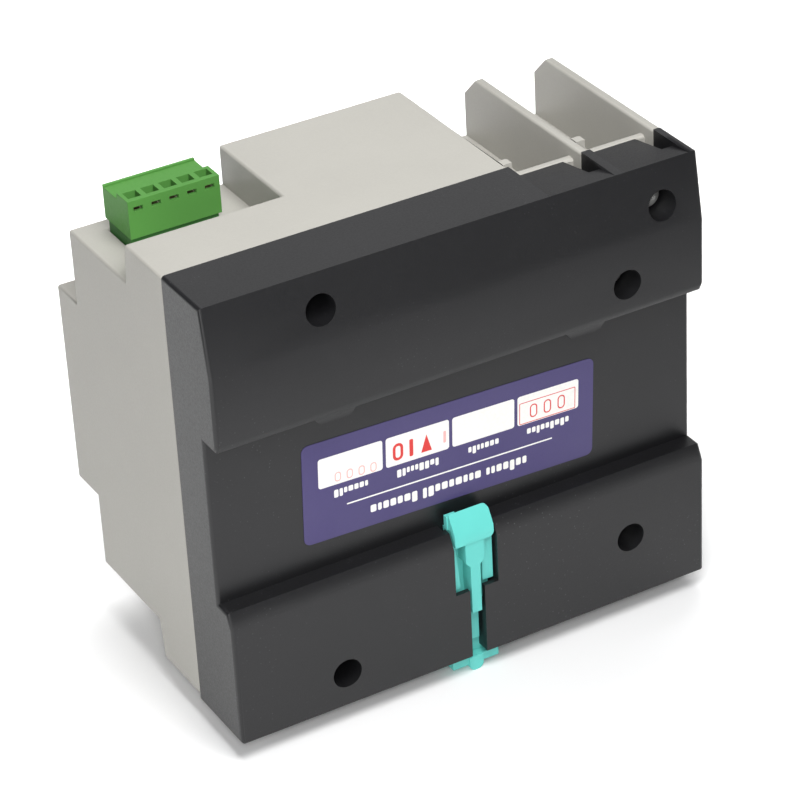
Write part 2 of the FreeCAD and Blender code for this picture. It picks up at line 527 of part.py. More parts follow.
def terminal_block(name, sign):
    """The insulating carrier of two poles: cage chambers, screw tunnels and busbar slots."""
    low, high = ("carrier_foot", "bay_floor - wall - play * 2")
    if sign:
        low, high = f"-({high})", f"-({low})"
    last = pole_x(1)
    body = box(name + "_body", (f"{last} - cage_half - wall - play * 2",
                                f"{pole_x(0)} + cage_half + wall - play * 2"),
               ("-step_depth + wall + play * 2", "-carrier_rear"), (low, high))
    tools = [rod(name + "_column", "column_radius + thread_gap", "y",
                 ("left_screw_x", "-front_depth", "upper_screw_z"), "0")]
    for index in PAIR:
        across = pole_x(index)
        up = f"{sign}pole_z"
        inner, outer = "pole_z - cage_tall / 2 - thread_gap * 2", "bay_floor"
        chamber_z = (inner, outer) if not sign else (f"-({outer})", f"-({inner})")
        tools.append(box(f"{name}_chamber_{index}", (f"{across} - cage_half - thread_gap",
                                                     f"{across} + cage_half + thread_gap"),
                         ("-pole_head_front + pole_head + ledge", "-carrier_rear - play * 6"), chamber_z))
        tools.append(rod(f"{name}_tunnel_{index}", "pole_head_radius + thread_gap * 2", "y",
                         (across, "-front_depth", up), "-pole_head_front + pole_head"))
        tools.append(rod(f"{name}_neck_{index}", "pole_screw_radius + thread_gap", "y",
                         (across, "-front_depth", up), "-bar_depth"))
        tools.append(box(f"{name}_bar_slot_{index}",
                         (f"{across} - bar_half - play * 2", f"{across} + bar_half + play * 2"),
                         ("-bar_depth - play * 2", "-bar_depth + bar_thick + play * 2"),
                         ("-pole_z", "pole_z")))
    return node(trimmed(name, body, tools), name)


def power_terminals():
    for pole, index, sign in POLES:
        across, up = pole_x(index), f"{sign}pole_z"
        slotted_screw(f"{pole}_screw", "pole_head_radius", "pole_head", "pole_screw_radius",
                      "pole_head_front", "(bar_depth + play * 4)", across, up, "pole_slot", "pole_slot_deep")
        rising_cage(f"{pole}_cage", across, up)
    terminal_block("top_terminal_block", "")
    terminal_block("bottom_terminal_block", "-")


def current_path():
    """Busbars, the shunt and the latching relay in the live line, and the neutral coil."""
    depth = ("-bar_depth", "-bar_depth + bar_thick")
    live = (f"{pole_x(0)} - bar_half", f"{pole_x(0)} + bar_half")
    neutral = (f"{pole_x(1)} - bar_half", f"{pole_x(1)} + bar_half")
    tip = "pole_z + cage_tall / 2"
    node(box("live_out_busbar", live, depth, ("relay_half_z", tip)), "live_out_busbar")
    node(box("live_in_busbar", live, depth, (f"-({tip})", "shunt_foot")), "live_in_busbar")
    node(box("shunt_strip", (f"{live[0]} + play * 5", f"{live[1]} - play * 5"), depth,
             ("shunt_foot", "-relay_half_z")),
         "shunt_strip")
    node(box("neutral_busbar", neutral, depth, (f"-({tip})", tip)), "neutral_busbar")
    node(box("latching_relay", (f"{live[0]} - wall", f"{live[1]} + wall"), ("-relay_front", "-relay_rear"),
             ("-relay_half_z", "relay_half_z")), "latching_relay")
    centre = (pole_x(1), "-bar_depth + bar_thick / 2", "-coil_half")
    ring = rod("coil_ring", "coil_outer", "z", centre, "coil_half")
    bore = rod("coil_bore", "coil_inner", "z", (centre[0], centre[1], "-coil_half - wall"),
               "coil_half + wall")
    node(trimmed("current_transformer", ring, [bore]), "current_transformer")


# ---------------------------------------------------------------- signal plug and header

def way_span(half, index):
    return f"{way_x(index)} - {half}", f"{way_x(index)} + {half}"


def signal_header():
    """The green shrouded header, standing up through the shelf."""
    across = ("signal_x - plug_width / 2 + header_side", "signal_x + plug_width / 2 - header_side")
    shroud = box("header_shroud", across, ("-header_front", "-header_rear"), ("header_foot", "header_top"))
    room = box("header_room", ("signal_x - plug_width / 2 + insert_side - insert_play",
                               "signal_x + plug_width / 2 - insert_side + insert_play"),
               ("-plug_front + insert_gap - insert_play", "-plug_rear - insert_gap + insert_play"),
               ("header_floor", "header_top + wall"))
    pin_holes = [box(f"header_pin_hole_{index}", way_span("pin_side / 2", index),
                     ("-pin_depth - pin_side / 2", "-pin_depth + pin_side / 2"),
                     ("header_foot - wall", "header_floor + wall"))
                 for index in SIGNAL_WAYS]
    node(trimmed("signal_header", shroud, [room] + pin_holes), "signal_header")
    pins = []
    for index in SIGNAL_WAYS:
        upright = box(f"pin_upright_{index}", way_span("pin_side / 2", index),
                      ("-pin_depth - pin_side / 2", "-pin_depth + pin_side / 2"), ("pin_foot", "pin_top"))
        leg = box(f"pin_leg_{index}", way_span("pin_side / 2", index),
                  ("-pin_depth - pin_side / 2", "-pin_rear"), ("pin_foot", "pin_foot + pin_side"))
        pins.append(joined(f"pin_{index}", [upright, leg]))
    node(joined("header_pins", pins), "header_pins")


def signal_plug():
    """The green plug: five wire entries on top, test slots behind, screw holes in front."""
    body = doc.addObject("PartDesign::Body", "signal_plug")
    low_x, high_x = "signal_x - plug_width / 2", "signal_x + plug_width / 2"
    outline = [("-plug_front", "plug_foot"), ("-plug_rear", "plug_foot"), ("-plug_rear", "plug_top"),
               ("-plug_step", "plug_top"), ("-plug_step", "plug_ledge"),
               ("-plug_front + plug_ridge", "plug_ledge"),
               ("-plug_front + plug_ridge", "plug_ledge + plug_ridge_rise"),
               ("-plug_front", "plug_ledge + plug_ridge_rise")]
    extruded(body, "plug_block", "YZ", low_x, high_x, [outline])
    insert = rectangle(("-plug_front + insert_gap", "-plug_rear - insert_gap"), ("insert_foot", "plug_foot"))
    extruded(body, "plug_insert", "YZ", f"{low_x} + insert_side", f"{high_x} - insert_side", [insert])
    entries = [rectangle(way_span("entry_side / 2", index), ("-entry_front", "-entry_rear"))
               for index in SIGNAL_WAYS]
    extruded(body, "wire_entries", "XY", "clamp_high", "plug_top + wall", entries, cut=True)
    chambers = [rectangle(way_span("chamber_half", index),
                          ("-chamber_front", "-entry_rear + clamp_wall + play"))
                for index in SIGNAL_WAYS]
    extruded(body, "chambers", "XY", "clamp_low - play * 9", "clamp_high + play * 3", chambers, cut=True)
    sockets = [rectangle(way_span("(socket_side / 2 + play)", index),
                         ("-pin_depth - socket_side / 2 - play",
                          "-pin_depth + socket_side / 2 + play")) for index in SIGNAL_WAYS]
    extruded(body, "socket_rooms", "XY", "insert_foot + play * 3", "clamp_low", sockets, cut=True)
    pin_ways = [rectangle(way_span("(pin_side / 2 + play * 2)", index),
                          ("-pin_depth - pin_side / 2 - play * 2",
                           "-pin_depth + pin_side / 2 + play * 2")) for index in SIGNAL_WAYS]
    extruded(body, "pin_ways", "XY", "insert_foot - wall", "insert_foot + wall", pin_ways, cut=True)
    middle = "(clamp_low + clamp_high) / 2"
    heads = [((way_x(index), middle), "small_head_radius + small_gap") for index in SIGNAL_WAYS]
    extruded(body, "head_holes", "XZ", "-small_head_front + small_head", "-plug_front - wall", circles=heads,
             cut=True)
    necks = [((way_x(index), middle), "small_screw_radius + small_gap") for index in SIGNAL_WAYS]
    extruded(body, "neck_holes", "XZ", "-chamber_front + wall / 2", "-plug_front - wall", circles=necks,
             cut=True)
    slots = [rectangle(way_span("slot_wide / 2", index), ("slot_z - slot_tall / 2", "slot_z + slot_tall / 2"))
             for index in SIGNAL_WAYS]
    extruded(body, "test_slots", "XZ", "-plug_rear + wall", "-entry_rear - play", slots, cut=True)
    return node(body, "signal_plug")


def plug_metal():
    """In each way of the plug: a screw, the clamp that it draws up, and a contact socket."""
    middle = "((clamp_low + clamp_high) / 2)"
    contacts = []
    for index in SIGNAL_WAYS:
        word = WAY_WORDS[index]
        slotted_screw(f"plug_screw_{word}", "small_head_radius", "small_head", "small_screw_radius",
                      "small_head_front", "(contact_depth + contact_thick + play)", way_x(index), middle,
                      "small_slot", "small_slot_deep")
        front = "(-contact_depth - contact_thick - clamp_front - play)"
        rear = "(-entry_rear + clamp_wall)"
        name = f"plug_clamp_{word}"
        ring = box(name + "_ring", way_span("clamp_half", index), (front, rear), ("clamp_low", "clamp_high"))
        room = box(name + "_room", way_span("(clamp_half - clamp_wall)", index),
                   (f"{front} + clamp_front", f"{rear} - clamp_wall"),
                   ("clamp_low - wall", "clamp_high + wall"))
        thread = rod(name + "_thread", "small_screw_radius + small_gap", "y",
                     (way_x(index), f"{front} - wall", middle),
                     f"{front} + clamp_front + play")
        node(trimmed(name, ring, [room, thread]), name)
        blade = box(f"contact_blade_{index}", way_span("(clamp_half - clamp_wall - play)", index),
                    ("-contact_depth - contact_thick", "-contact_depth"),
                    ("clamp_low - play * 4", "clamp_high"))
        neck = box(f"contact_neck_{index}", way_span("(clamp_half - clamp_wall - play)", index),
                   ("-pin_depth", "-contact_depth"), ("clamp_low - play * 8", "clamp_low - play * 3"))
        tube = box(f"contact_tube_{index}", way_span("socket_side / 2", index),
                   ("-pin_depth - socket_side / 2", "-pin_depth + socket_side / 2"),
                   ("socket_foot", "clamp_low - play * 3"))
        bore = box(f"contact_bore_{index}", way_span("socket_room / 2", index),
                   ("-pin_depth - socket_room / 2", "-pin_depth + socket_room / 2"),
                   ("socket_foot - wall", "clamp_low - play * 8"))
        contacts.append(trimmed(f"contact_{index}", joined(f"contact_blank_{index}", [blade, neck, tube]),
                                [bore]))
    node(joined("contact_sockets", contacts), "contact_sockets")


# ---------------------------------------------------------------- front

def front_face():
    """Fascia, clear pane, display, display board, buttons with switches, and lights."""
    opening = rectangle(("pane_left + view_rim", "pane_right - view_rim"),
                        ("-pane_z + view_rim", "pane_z - view_rim"))
    body = doc.addObject("PartDesign::Body", "front_fascia")
    outline = rectangle(("-fascia_half + play", "fascia_half - play"),
                        ("-fascia_z + play", "fascia_z - play"))
    places = [f"button_x + button_step * {index}" for index in PAIR]
    holes = [((across, "button_z"), "button_radius + button_gap") for across in places]
    holes += [((across, "light_z"), "light_radius + play") for across in places]
    extruded(body, "fascia_sheet", "XZ", "-front_depth + fascia_deep", "-front_depth + play",
             [outline, opening], holes)
    node(body, "front_fascia")
    pane_y = ("-front_depth + fascia_deep", "-front_depth + fascia_deep + pane_thick")
    node(box("display_window", ("pane_left + play", "pane_right - play"), pane_y,
             ("-pane_z + play", "pane_z - play")),
         "display_window")
    glass_y = ("-glass_front", "-glass_front + glass_thick")
    light_y = (glass_y[1], "-glass_front + glass_thick + backlight_thick")
    node(box("lcd_glass", ("pane_left", "pane_right"), glass_y,
             ("-pane_z - glass_rim", "pane_z + glass_rim")), "lcd_glass")
    node(box("lcd_backlight", ("pane_left", "pane_right"), light_y,
             ("-pane_z - glass_rim", "pane_z + glass_rim")), "lcd_backlight")
    board_y = ("-display_board_rear - board_thick", "-display_board_rear")
    node(box("display_board", ("-display_board_half", "display_board_half"), board_y,
             ("-display_board_z", "display_board_z")), "display_board")
    lamps, guides, switches = [], [], []
    for index, across in enumerate(places):
        word = ("page", "reset")[index]
        inner = "-front_depth + wall + play"
        cap = rod(f"{word}_cap", "button_radius", "y", (across, "-front_depth - button_proud", "button_z"),
                  inner)
        flange = rod(f"{word}_flange", "flange_radius", "y", (across, inner, "button_z"), f"{inner} + flange")
        node(joined(f"{word}_button", [cap, flange]), f"{word}_button")
        plunger = rod(f"{word}_plunger", "plunger_radius", "y", (across, f"{inner} + flange", "button_z"),
                      f"{inner} + flange + plunger_long")
        node(plunger, f"{word}_switch_plunger")
        body_box = box(f"{word}_switch_body", (f"{across} - switch_side / 2", f"{across} + switch_side / 2"),
                       ("-display_board_rear - board_thick - switch_tall",
                        "-display_board_rear - board_thick"),
                       ("button_z - switch_side / 2", "button_z + switch_side / 2"))
        bore = rod(f"{word}_switch_bore", "plunger_radius + play", "y", (across, "-front_depth", "button_z"),
                   "-display_board_rear - board_thick - play * 3")
        switches.append(trimmed(f"{word}_switch", body_box, [bore]))
        lamps.append(rod(f"lamp_{index}", "light_radius", "y",
                         (across, "-display_board_rear - board_thick - light_tall", "light_z"),
                         "-display_board_rear - board_thick"))
        guides.append(rod(f"guide_{index}", "light_radius", "y", (across, "-front_depth", "light_z"),
                          "-display_board_rear - board_thick - light_tall - play"))
    node(joined("button_switches", switches), "button_switches")
    node(joined("status_lights", lamps), "status_lights")
    node(joined("light_guides", guides), "light_guides")


# ---------------------------------------------------------------- boards and power parts

def standing(name, across, up, wide, tall, deep):
    """A block standing on the main board's front face."""
    return box(name, (f"{across} - {wide} / 2", f"{across} + {wide} / 2"),
               (f"-main_board_front - {deep}", "-main_board_front"),
               (f"{up} - {tall} / 2", f"{up} + {tall} / 2"))


def can(name, across, up, radius, long):
    """A round part standing on the main board's front face."""
    return rod(name, radius, "y", (across, f"-main_board_front - {long}", up), "-main_board_front")


def boards():
    blank = box("main_board_blank", ("-main_board_half", "main_board_half"),
                ("-main_board_front", "-main_board_front + board_thick"),
                ("main_board_foot", "main_board_top"))
    hole = rod("main_board_hole", "board_hole", "y", ("left_screw_x", "-split_depth", "upper_screw_z"), "0")
    node(trimmed("main_board", blank, [hole]), "main_board")
    side = box("side_board_blank", ("side_board_left", "side_board_right"),
               ("-side_board_rear - board_thick", "-side_board_rear"), ("side_board_foot", "side_board_top"))
    pin_holes = [box(f"side_board_hole_{index}", way_span("pin_side / 2", index), ("-plug_rear", "-pin_rear"),
                     ("pin_foot", "pin_foot + pin_side")) for index in SIGNAL_WAYS]
    node(trimmed("interface_board", side, pin_holes), "interface_board")
    spacers = [rod(f"spacer_{index}", "spacer_radius", "y", (across, "-display_board_rear", "spacer_z"),
                   "-side_board_rear - board_thick")
               for index, across in enumerate(("side_board_left + spacer_inset",
                                               "side_board_right - spacer_inset * 2"))]
    node(joined("board_spacers", spacers), "board_spacers")
    node(box("board_ribbon", ("ribbon_left", "ribbon_left + ribbon_wide"),
             ("-display_board_rear", "-main_board_front"),
             ("ribbon_z", "ribbon_z + ribbon_thick")), "board_ribbon")


def board_parts():
    core = standing("core_block", "core_x", "core_z", "core_wide", "core_tall", "core_deep")
    tunnel = standing("core_tunnel", "core_x", "core_z", "winding_wide", "winding_tall", "(core_deep * 2)")
    node(trimmed("transformer_core", core, [tunnel]), "transformer_core")
    node(standing("transformer_winding", "core_x", "core_z", "winding_wide", "winding_tall", "winding_deep"),
         "transformer_winding")
    node(standing("input_capacitor", "film_x", "film_z", "film_wide", "film_tall", "film_deep"),
         "input_capacitor")
    cans = [can(f"can_{index}", f"can_x + can_step * {index}", "can_z", "can_radius", "can_long")
            for index in PAIR]
    node(joined("smoothing_capacitors", cans), "smoothing_capacitors")
    node(can("varistor", "disc_x + disc_radius * 2", "disc_z", "disc_radius", "disc_thick"), "varistor")
    node(can("backup_battery", "cell_x", "cell_z", "cell_radius", "cell_tall"), "backup_battery")
    chips = [standing(f"chip_{index}", f"(chip_x - chip_step * {index})", "chip_z", "chip_side",
                      "chip_side", "chip_tall") for index in range(DIMENSIONS["chip_count"])]
    node(joined("board_chips", chips), "board_chips")
    optos = [standing(f"opto_{index}", f"(opto_x + opto_step * {index})", "opto_z", "opto_wide",
                      "opto_tall", "opto_deep") for index in range(DIMENSIONS["opto_count"])]
    node(joined("optocouplers", optos), "optocouplers")


rear_base()
front_housing()
case_screws()
rear_label()
din_clip()
power_terminals()
current_path()
signal_header()
signal_plug()
plug_metal()
front_face()
boards()
board_parts()
doc.recompute()

for item in doc.Objects:
    if "Invalid" in item.State or "Error" in item.State:
        raise RuntimeError(f"{item.Name} failed: {item.State}")
for piece in nodes:
    if piece.Shape.isNull() or not piece.Shape.isValid() or not piece.Shape.Solids:
        raise RuntimeError(f"{piece.Label} has no valid shape")
os.makedirs("parts", exist_ok=True)
for piece in nodes:
    piece.Shape.exportStep(f"parts/{piece.Label}.step")
print(f"{len(nodes)} sub-parts written")
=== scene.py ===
import json
import math
import random
import bmesh
import bpy
from mathutils import Matrix, Vector

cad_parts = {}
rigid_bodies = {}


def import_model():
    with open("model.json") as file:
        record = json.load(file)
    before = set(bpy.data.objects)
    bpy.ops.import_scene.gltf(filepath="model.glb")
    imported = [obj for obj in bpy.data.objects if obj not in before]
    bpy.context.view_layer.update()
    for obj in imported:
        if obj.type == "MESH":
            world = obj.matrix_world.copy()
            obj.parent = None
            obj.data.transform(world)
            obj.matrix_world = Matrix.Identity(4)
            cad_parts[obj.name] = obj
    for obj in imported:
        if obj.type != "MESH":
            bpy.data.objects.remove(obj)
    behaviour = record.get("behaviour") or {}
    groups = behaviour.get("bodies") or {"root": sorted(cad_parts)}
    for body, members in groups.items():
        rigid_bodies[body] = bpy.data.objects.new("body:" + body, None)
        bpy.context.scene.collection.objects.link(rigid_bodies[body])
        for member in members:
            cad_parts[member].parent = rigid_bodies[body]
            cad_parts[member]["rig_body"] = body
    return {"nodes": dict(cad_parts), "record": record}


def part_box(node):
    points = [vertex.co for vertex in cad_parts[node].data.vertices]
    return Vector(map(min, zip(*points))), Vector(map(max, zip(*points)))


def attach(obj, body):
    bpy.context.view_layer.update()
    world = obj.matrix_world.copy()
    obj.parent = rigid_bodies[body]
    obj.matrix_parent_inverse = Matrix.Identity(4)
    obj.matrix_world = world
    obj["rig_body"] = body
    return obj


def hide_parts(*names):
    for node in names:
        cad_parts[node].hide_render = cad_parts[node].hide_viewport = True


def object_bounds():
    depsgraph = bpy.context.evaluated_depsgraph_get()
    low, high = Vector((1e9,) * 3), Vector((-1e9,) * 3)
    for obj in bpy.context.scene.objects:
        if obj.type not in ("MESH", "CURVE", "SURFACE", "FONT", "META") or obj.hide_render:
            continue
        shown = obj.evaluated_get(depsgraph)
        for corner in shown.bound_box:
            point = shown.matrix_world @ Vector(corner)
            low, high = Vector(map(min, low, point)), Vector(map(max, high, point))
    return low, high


# Looks for the smart electric meter: a grey stepped case with a black rear base, a teal rail clip,
# a green plug and screw terminals between fins.  Metres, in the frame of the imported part:
# X across the case, +Y out of the rear, Z up.

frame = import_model()
cad_low, cad_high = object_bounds()
MM = 0.001


# ---------------------------------------------------------------- camera, floor and light

CAMERA_PLACE = Vector((0.27448, 0.48011, 0.34495))
CAMERA_TARGET = Vector((0.000591, -0.021327, -0.002304))
CAMERA_ROLL = math.radians(-3.099)
CAMERA_LENS = 151.5
SENSOR_WIDTH = 36
NEAREST_SEEN = 0.01


def camera():
    forward = (CAMERA_TARGET - CAMERA_PLACE).normalized()
    sideways = forward.cross(Vector((0, 0, 1))).normalized()
    upright = sideways.cross(forward)
    right = math.cos(CAMERA_ROLL) * sideways + math.sin(CAMERA_ROLL) * upright
    above = math.cos(CAMERA_ROLL) * upright - math.sin(CAMERA_ROLL) * sideways
    data = bpy.data.cameras.new("camera")
    data.lens = CAMERA_LENS
    data.sensor_width = SENSOR_WIDTH
    data.clip_start = NEAREST_SEEN
    view = bpy.data.objects.new("camera", data)
    turn = Matrix((right, above, -forward)).transposed()
    view.matrix_world = Matrix.Translation(CAMERA_PLACE) @ turn.to_4x4()
    bpy.context.scene.collection.objects.link(view)
    bpy.context.scene.camera = view


def floor(low):
    """White paper that ends 24 cm out from the meter's rear and runs far past its front."""
    size = 6.0
    rear_edge = 0.24
    bpy.ops.mesh.primitive_plane_add(size=size, location=(0, rear_edge - size / 2, low.z))
    ground = bpy.context.object
    ground.name = "floor"
    material, _, surface = new_material("floor_paper")
    surface.inputs["Base Color"].default_value = (0.93, 0.93, 0.93, 1)
    surface.inputs["Roughness"].default_value = 0.9
    ground.data.materials.append(material)


ROOM_LIGHT = 0.14
METER = (0, 0, 0)
# Each lamp's name, place, aim, width, height, power in watts and spread in degrees.
LAMPS = (
    ("key_box", (0.03, 0.11, 0.22), METER, 0.13, 0.13, 0.62, 180),
    ("camera_box", (0.29, 0.51, 0.39), METER, 0.12, 0.12, 2.0, 180),
    ("side_box", (0.24, 0.11, 0.03), METER, 0.13, 0.13, 0.20, 180),
    ("back_card", (-0.35, -0.65, 0.45), METER, 0.7, 0.5, 0.65, 180),
    ("paper_box", (-0.1, -0.35, 0.6), (-0.1, -0.45, cad_low.z), 0.5, 0.5, 3.0, 80),
)


def soft_box(name, place, aim, width, height, power, spread):
    data = bpy.data.lights.new(name, "AREA")
    data.shape = "RECTANGLE"
    data.size = width
    data.size_y = height
    data.energy = power
    data.spread = math.radians(spread)
    lamp = bpy.data.objects.new(name, data)
    lamp.location = place
    lamp.rotation_euler = (Vector(aim) - Vector(place)).to_track_quat("-Z", "Y").to_euler()
    lamp.visible_camera = False
    bpy.context.scene.collection.objects.link(lamp)


def studio():
    """A near key above the rear, one at the camera, a low side fill, a card in front, light on the paper."""
    world = bpy.data.worlds.new("studio")
    world.use_nodes = True
    background = world.node_tree.nodes["Background"]
    background.inputs["Color"].default_value = (0.97, 0.98, 1, 1)
    background.inputs["Strength"].default_value = ROOM_LIGHT
    bpy.context.scene.world = world
    for name, place, aim, width, height, power, spread in LAMPS:
        soft_box(name, place, aim, width, height, power, spread)
    bpy.context.scene.view_settings.view_transform = "Standard"


# ---------------------------------------------------------------- materials

def new_material(name):
    material = bpy.data.materials.new(name)
    material.use_nodes = True
    tree = material.node_tree
    return material, tree, tree.nodes["Principled BSDF"]


def texture(tree, kind, **settings):
    """A texture node that reads the piece's own coordinates, so its pattern moves with the piece."""
    place = tree.nodes.get("place") or tree.nodes.new("ShaderNodeTexCoord")
    place.name = "place"
    made = tree.nodes.new(kind)
    tree.links.new(place.outputs["Object"], made.inputs["Vector"])
    for key, value in settings.items():
        made.inputs[key].default_value = value
    return made


def ramp(tree, source, low, high, first, last):
    """Colours or greys between first and last, as source goes from low to high."""
    made = tree.nodes.new("ShaderNodeValToRGB")
    tree.links.new(source, made.inputs["Fac"])
    made.color_ramp.elements[0].position = low
    made.color_ramp.elements[1].position = high
    made.color_ramp.elements[0].color = (*first, 1)
    made.color_ramp.elements[1].color = (*last, 1)
    return made.outputs["Color"]


def level(tree, source, low, high, first, last):
    """A number between first and last, as source goes from low to high."""
    made = tree.nodes.new("ShaderNodeMapRange")
    tree.links.new(source, made.inputs["Value"])
    made.inputs["From Min"].default_value = low
    made.inputs["From Max"].default_value = high
    made.inputs["To Min"].default_value = first
    made.inputs["To Max"].default_value = last
    return made.outputs["Result"]


def mixed(tree, amount, first, second):
    made = tree.nodes.new("ShaderNodeMix")
    made.data_type = "RGBA"
    tree.links.new(amount, made.inputs["Factor"])
    for key, value in (("A", first), ("B", second)):
        socket = next(s for s in made.inputs if s.name == key and s.type == "RGBA")
        if isinstance(value, tuple):
            socket.default_value = (*value, 1)
        else:
            tree.links.new(value, socket)
    return next(s for s in made.outputs if s.type == "RGBA")


def bumped(tree, surface, height, strength, distance):
    made = tree.nodes.new("ShaderNodeBump")
    made.inputs["Strength"].default_value = strength
    made.inputs["Distance"].default_value = distance
    tree.links.new(height, made.inputs["Height"])
    tree.links.new(made.outputs["Normal"], surface.inputs["Normal"])


def shade(colour, factor):
    return tuple(min(1, part * factor) for part in colour)


DUST_TONE = (0.55, 0.55, 0.58)


def moulded(name, colour, roughness, spread, grain, depth, dust=0.0, sheen=0.5):
    """Moulded plastic: a fine spark-eroded grain, slow drifts of tone, uneven gloss and a little dust."""
    material, tree, surface = new_material(name)
    drift = texture(tree, "ShaderNodeTexNoise", Scale=38, Detail=4, Roughness=0.6)
    skin = texture(tree, "ShaderNodeTexNoise", Scale=grain, Detail=3, Roughness=0.7)
    tone = ramp(tree, drift.outputs["Fac"], 0.3, 0.7, shade(colour, 1 - spread), shade(colour, 1 + spread))
    if dust:
        specks = texture(tree, "ShaderNodeTexVoronoi", Scale=900, Randomness=1)
        spots = level(tree, specks.outputs["Distance"], 0.0, 0.16, 1, 0)
        few = level(tree, drift.outputs["Fac"], 0.45, 0.7, 0, dust)
        both = tree.nodes.new("ShaderNodeMath")
        both.operation = "MULTIPLY"
        tree.links.new(spots, both.inputs[0])
        tree.links.new(few, both.inputs[1])
        tone = mixed(tree, both.outputs[0], tone, DUST_TONE)
    tree.links.new(tone, surface.inputs["Base Color"])
    surface.inputs["Specular IOR Level"].default_value = sheen
    gloss = level(tree, skin.outputs["Fac"], 0.3, 0.7, roughness - 0.06, roughness + 0.08)
    tree.links.new(gloss, surface.inputs["Roughness"])
    bumped(tree, surface, skin.outputs["Fac"], 0.5, depth)
    return material


def metal(name, colour, roughness, streak, stain=0.12):
    """Plated or turned metal: drawn streaks in the bump and gloss, and slight stains in the tone."""
    material, tree, surface = new_material(name)
    stretch = tree.nodes.new("ShaderNodeMapping")
    stretch.inputs["Scale"].default_value = streak
    lines = texture(tree, "ShaderNodeTexNoise", Scale=900, Detail=5, Roughness=0.6)
    tree.links.new(tree.nodes["place"].outputs["Object"], stretch.inputs["Vector"])
    tree.links.new(stretch.outputs["Vector"], lines.inputs["Vector"])
    cloud = texture(tree, "ShaderNodeTexNoise", Scale=260, Detail=3, Roughness=0.5)
    tone = ramp(tree, cloud.outputs["Fac"], 0.35, 0.65, shade(colour, 1 - stain), colour)
    tree.links.new(tone, surface.inputs["Base Color"])
    surface.inputs["Metallic"].default_value = 1
    tree.links.new(level(tree, lines.outputs["Fac"], 0.3, 0.7, roughness - 0.08, roughness + 0.12),
                   surface.inputs["Roughness"])
    bumped(tree, surface, lines.outputs["Fac"], 0.35, 0.00002)
    return material


def clear(name, colour, roughness, ior):
    """A clear moulding, slightly cloudy with handling marks."""
    material, tree, surface = new_material(name)
    surface.inputs["Base Color"].default_value = (*colour, 1)
    surface.inputs["Transmission Weight"].default_value = 1
    surface.inputs["IOR"].default_value = ior
    marks = texture(tree, "ShaderNodeTexNoise", Scale=90, Detail=6, Roughness=0.7)
    tree.links.new(level(tree, marks.outputs["Fac"], 0.45, 0.75, roughness, roughness + 0.12),
                   surface.inputs["Roughness"])
    return material


def solder_mask(name, colour, copper):
    """A printed board: tracks under the lacquer, and small vias."""
    material, tree, surface = new_material(name)
    tracks = texture(tree, "ShaderNodeTexBrick", Scale=160)
    tracks.inputs["Mortar Size"].default_value = 0.06
    tracks.inputs["Color1"].default_value = (*colour, 1)
    tracks.inputs["Color2"].default_value = (*shade(colour, 0.8), 1)
    tracks.inputs["Mortar"].default_value = (*shade(colour, 1.9), 1)
    turn = tree.nodes.new("ShaderNodeMapping")
    turn.inputs["Rotation"].default_value = (math.pi / 2, 0, 0)
    tree.links.new(tree.nodes["place"].outputs["Object"], turn.inputs["Vector"])
    tree.links.new(turn.outputs["Vector"], tracks.inputs["Vector"])
    vias = texture(tree, "ShaderNodeTexVoronoi", Scale=260, Randomness=0.8)
    dots = level(tree, vias.outputs["Distance"], 0.09, 0.12, 1, 0)
    tree.links.new(mixed(tree, dots, tracks.outputs["Color"], copper), surface.inputs["Base Color"])
    surface.inputs["Roughness"].default_value = 0.32
    bumped(tree, surface, tracks.outputs["Fac"], 0.4, 0.00003)
    return material


def banded(name, first, second, direction, count_per_metre, roughness, metallic=0.0):
    """Layers or conductors side by side: core plates, wound tape, a flat cable's wires."""
    material, tree, surface = new_material(name)
    waves = texture(tree, "ShaderNodeTexWave", Scale=count_per_metre, Distortion=0.6)
    waves.inputs["Detail"].default_value = 2
    waves.bands_direction = direction
    tone = ramp(tree, waves.outputs["Fac"], 0.3, 0.7, first, second)
    tree.links.new(tone, surface.inputs["Base Color"])
    surface.inputs["Roughness"].default_value = roughness
    surface.inputs["Metallic"].default_value = metallic
    bumped(tree, surface, waves.outputs["Fac"], 0.6, 0.00005)
    return material


def printed(name, colour, roughness):
    """Printed film or ink: nearly flat, with a faint mottle and small voids in the print."""
    material, tree, surface = new_material(name)
    mottle = texture(tree, "ShaderNodeTexNoise", Scale=1400, Detail=4, Roughness=0.8)
    drift = texture(tree, "ShaderNodeTexNoise", Scale=55, Detail=2, Roughness=0.5)
    tone = ramp(tree, mottle.outputs["Fac"], 0.25, 0.6, shade(colour, 0.94), shade(colour, 1.02))
    tree.links.new(tone, surface.inputs["Base Color"])
    tree.links.new(level(tree, drift.outputs["Fac"], 0.3, 0.7, roughness - 0.1, roughness + 0.12),
                   surface.inputs["Roughness"])
    bumped(tree, surface, mottle.outputs["Fac"], 0.25, 0.00001)
    return material


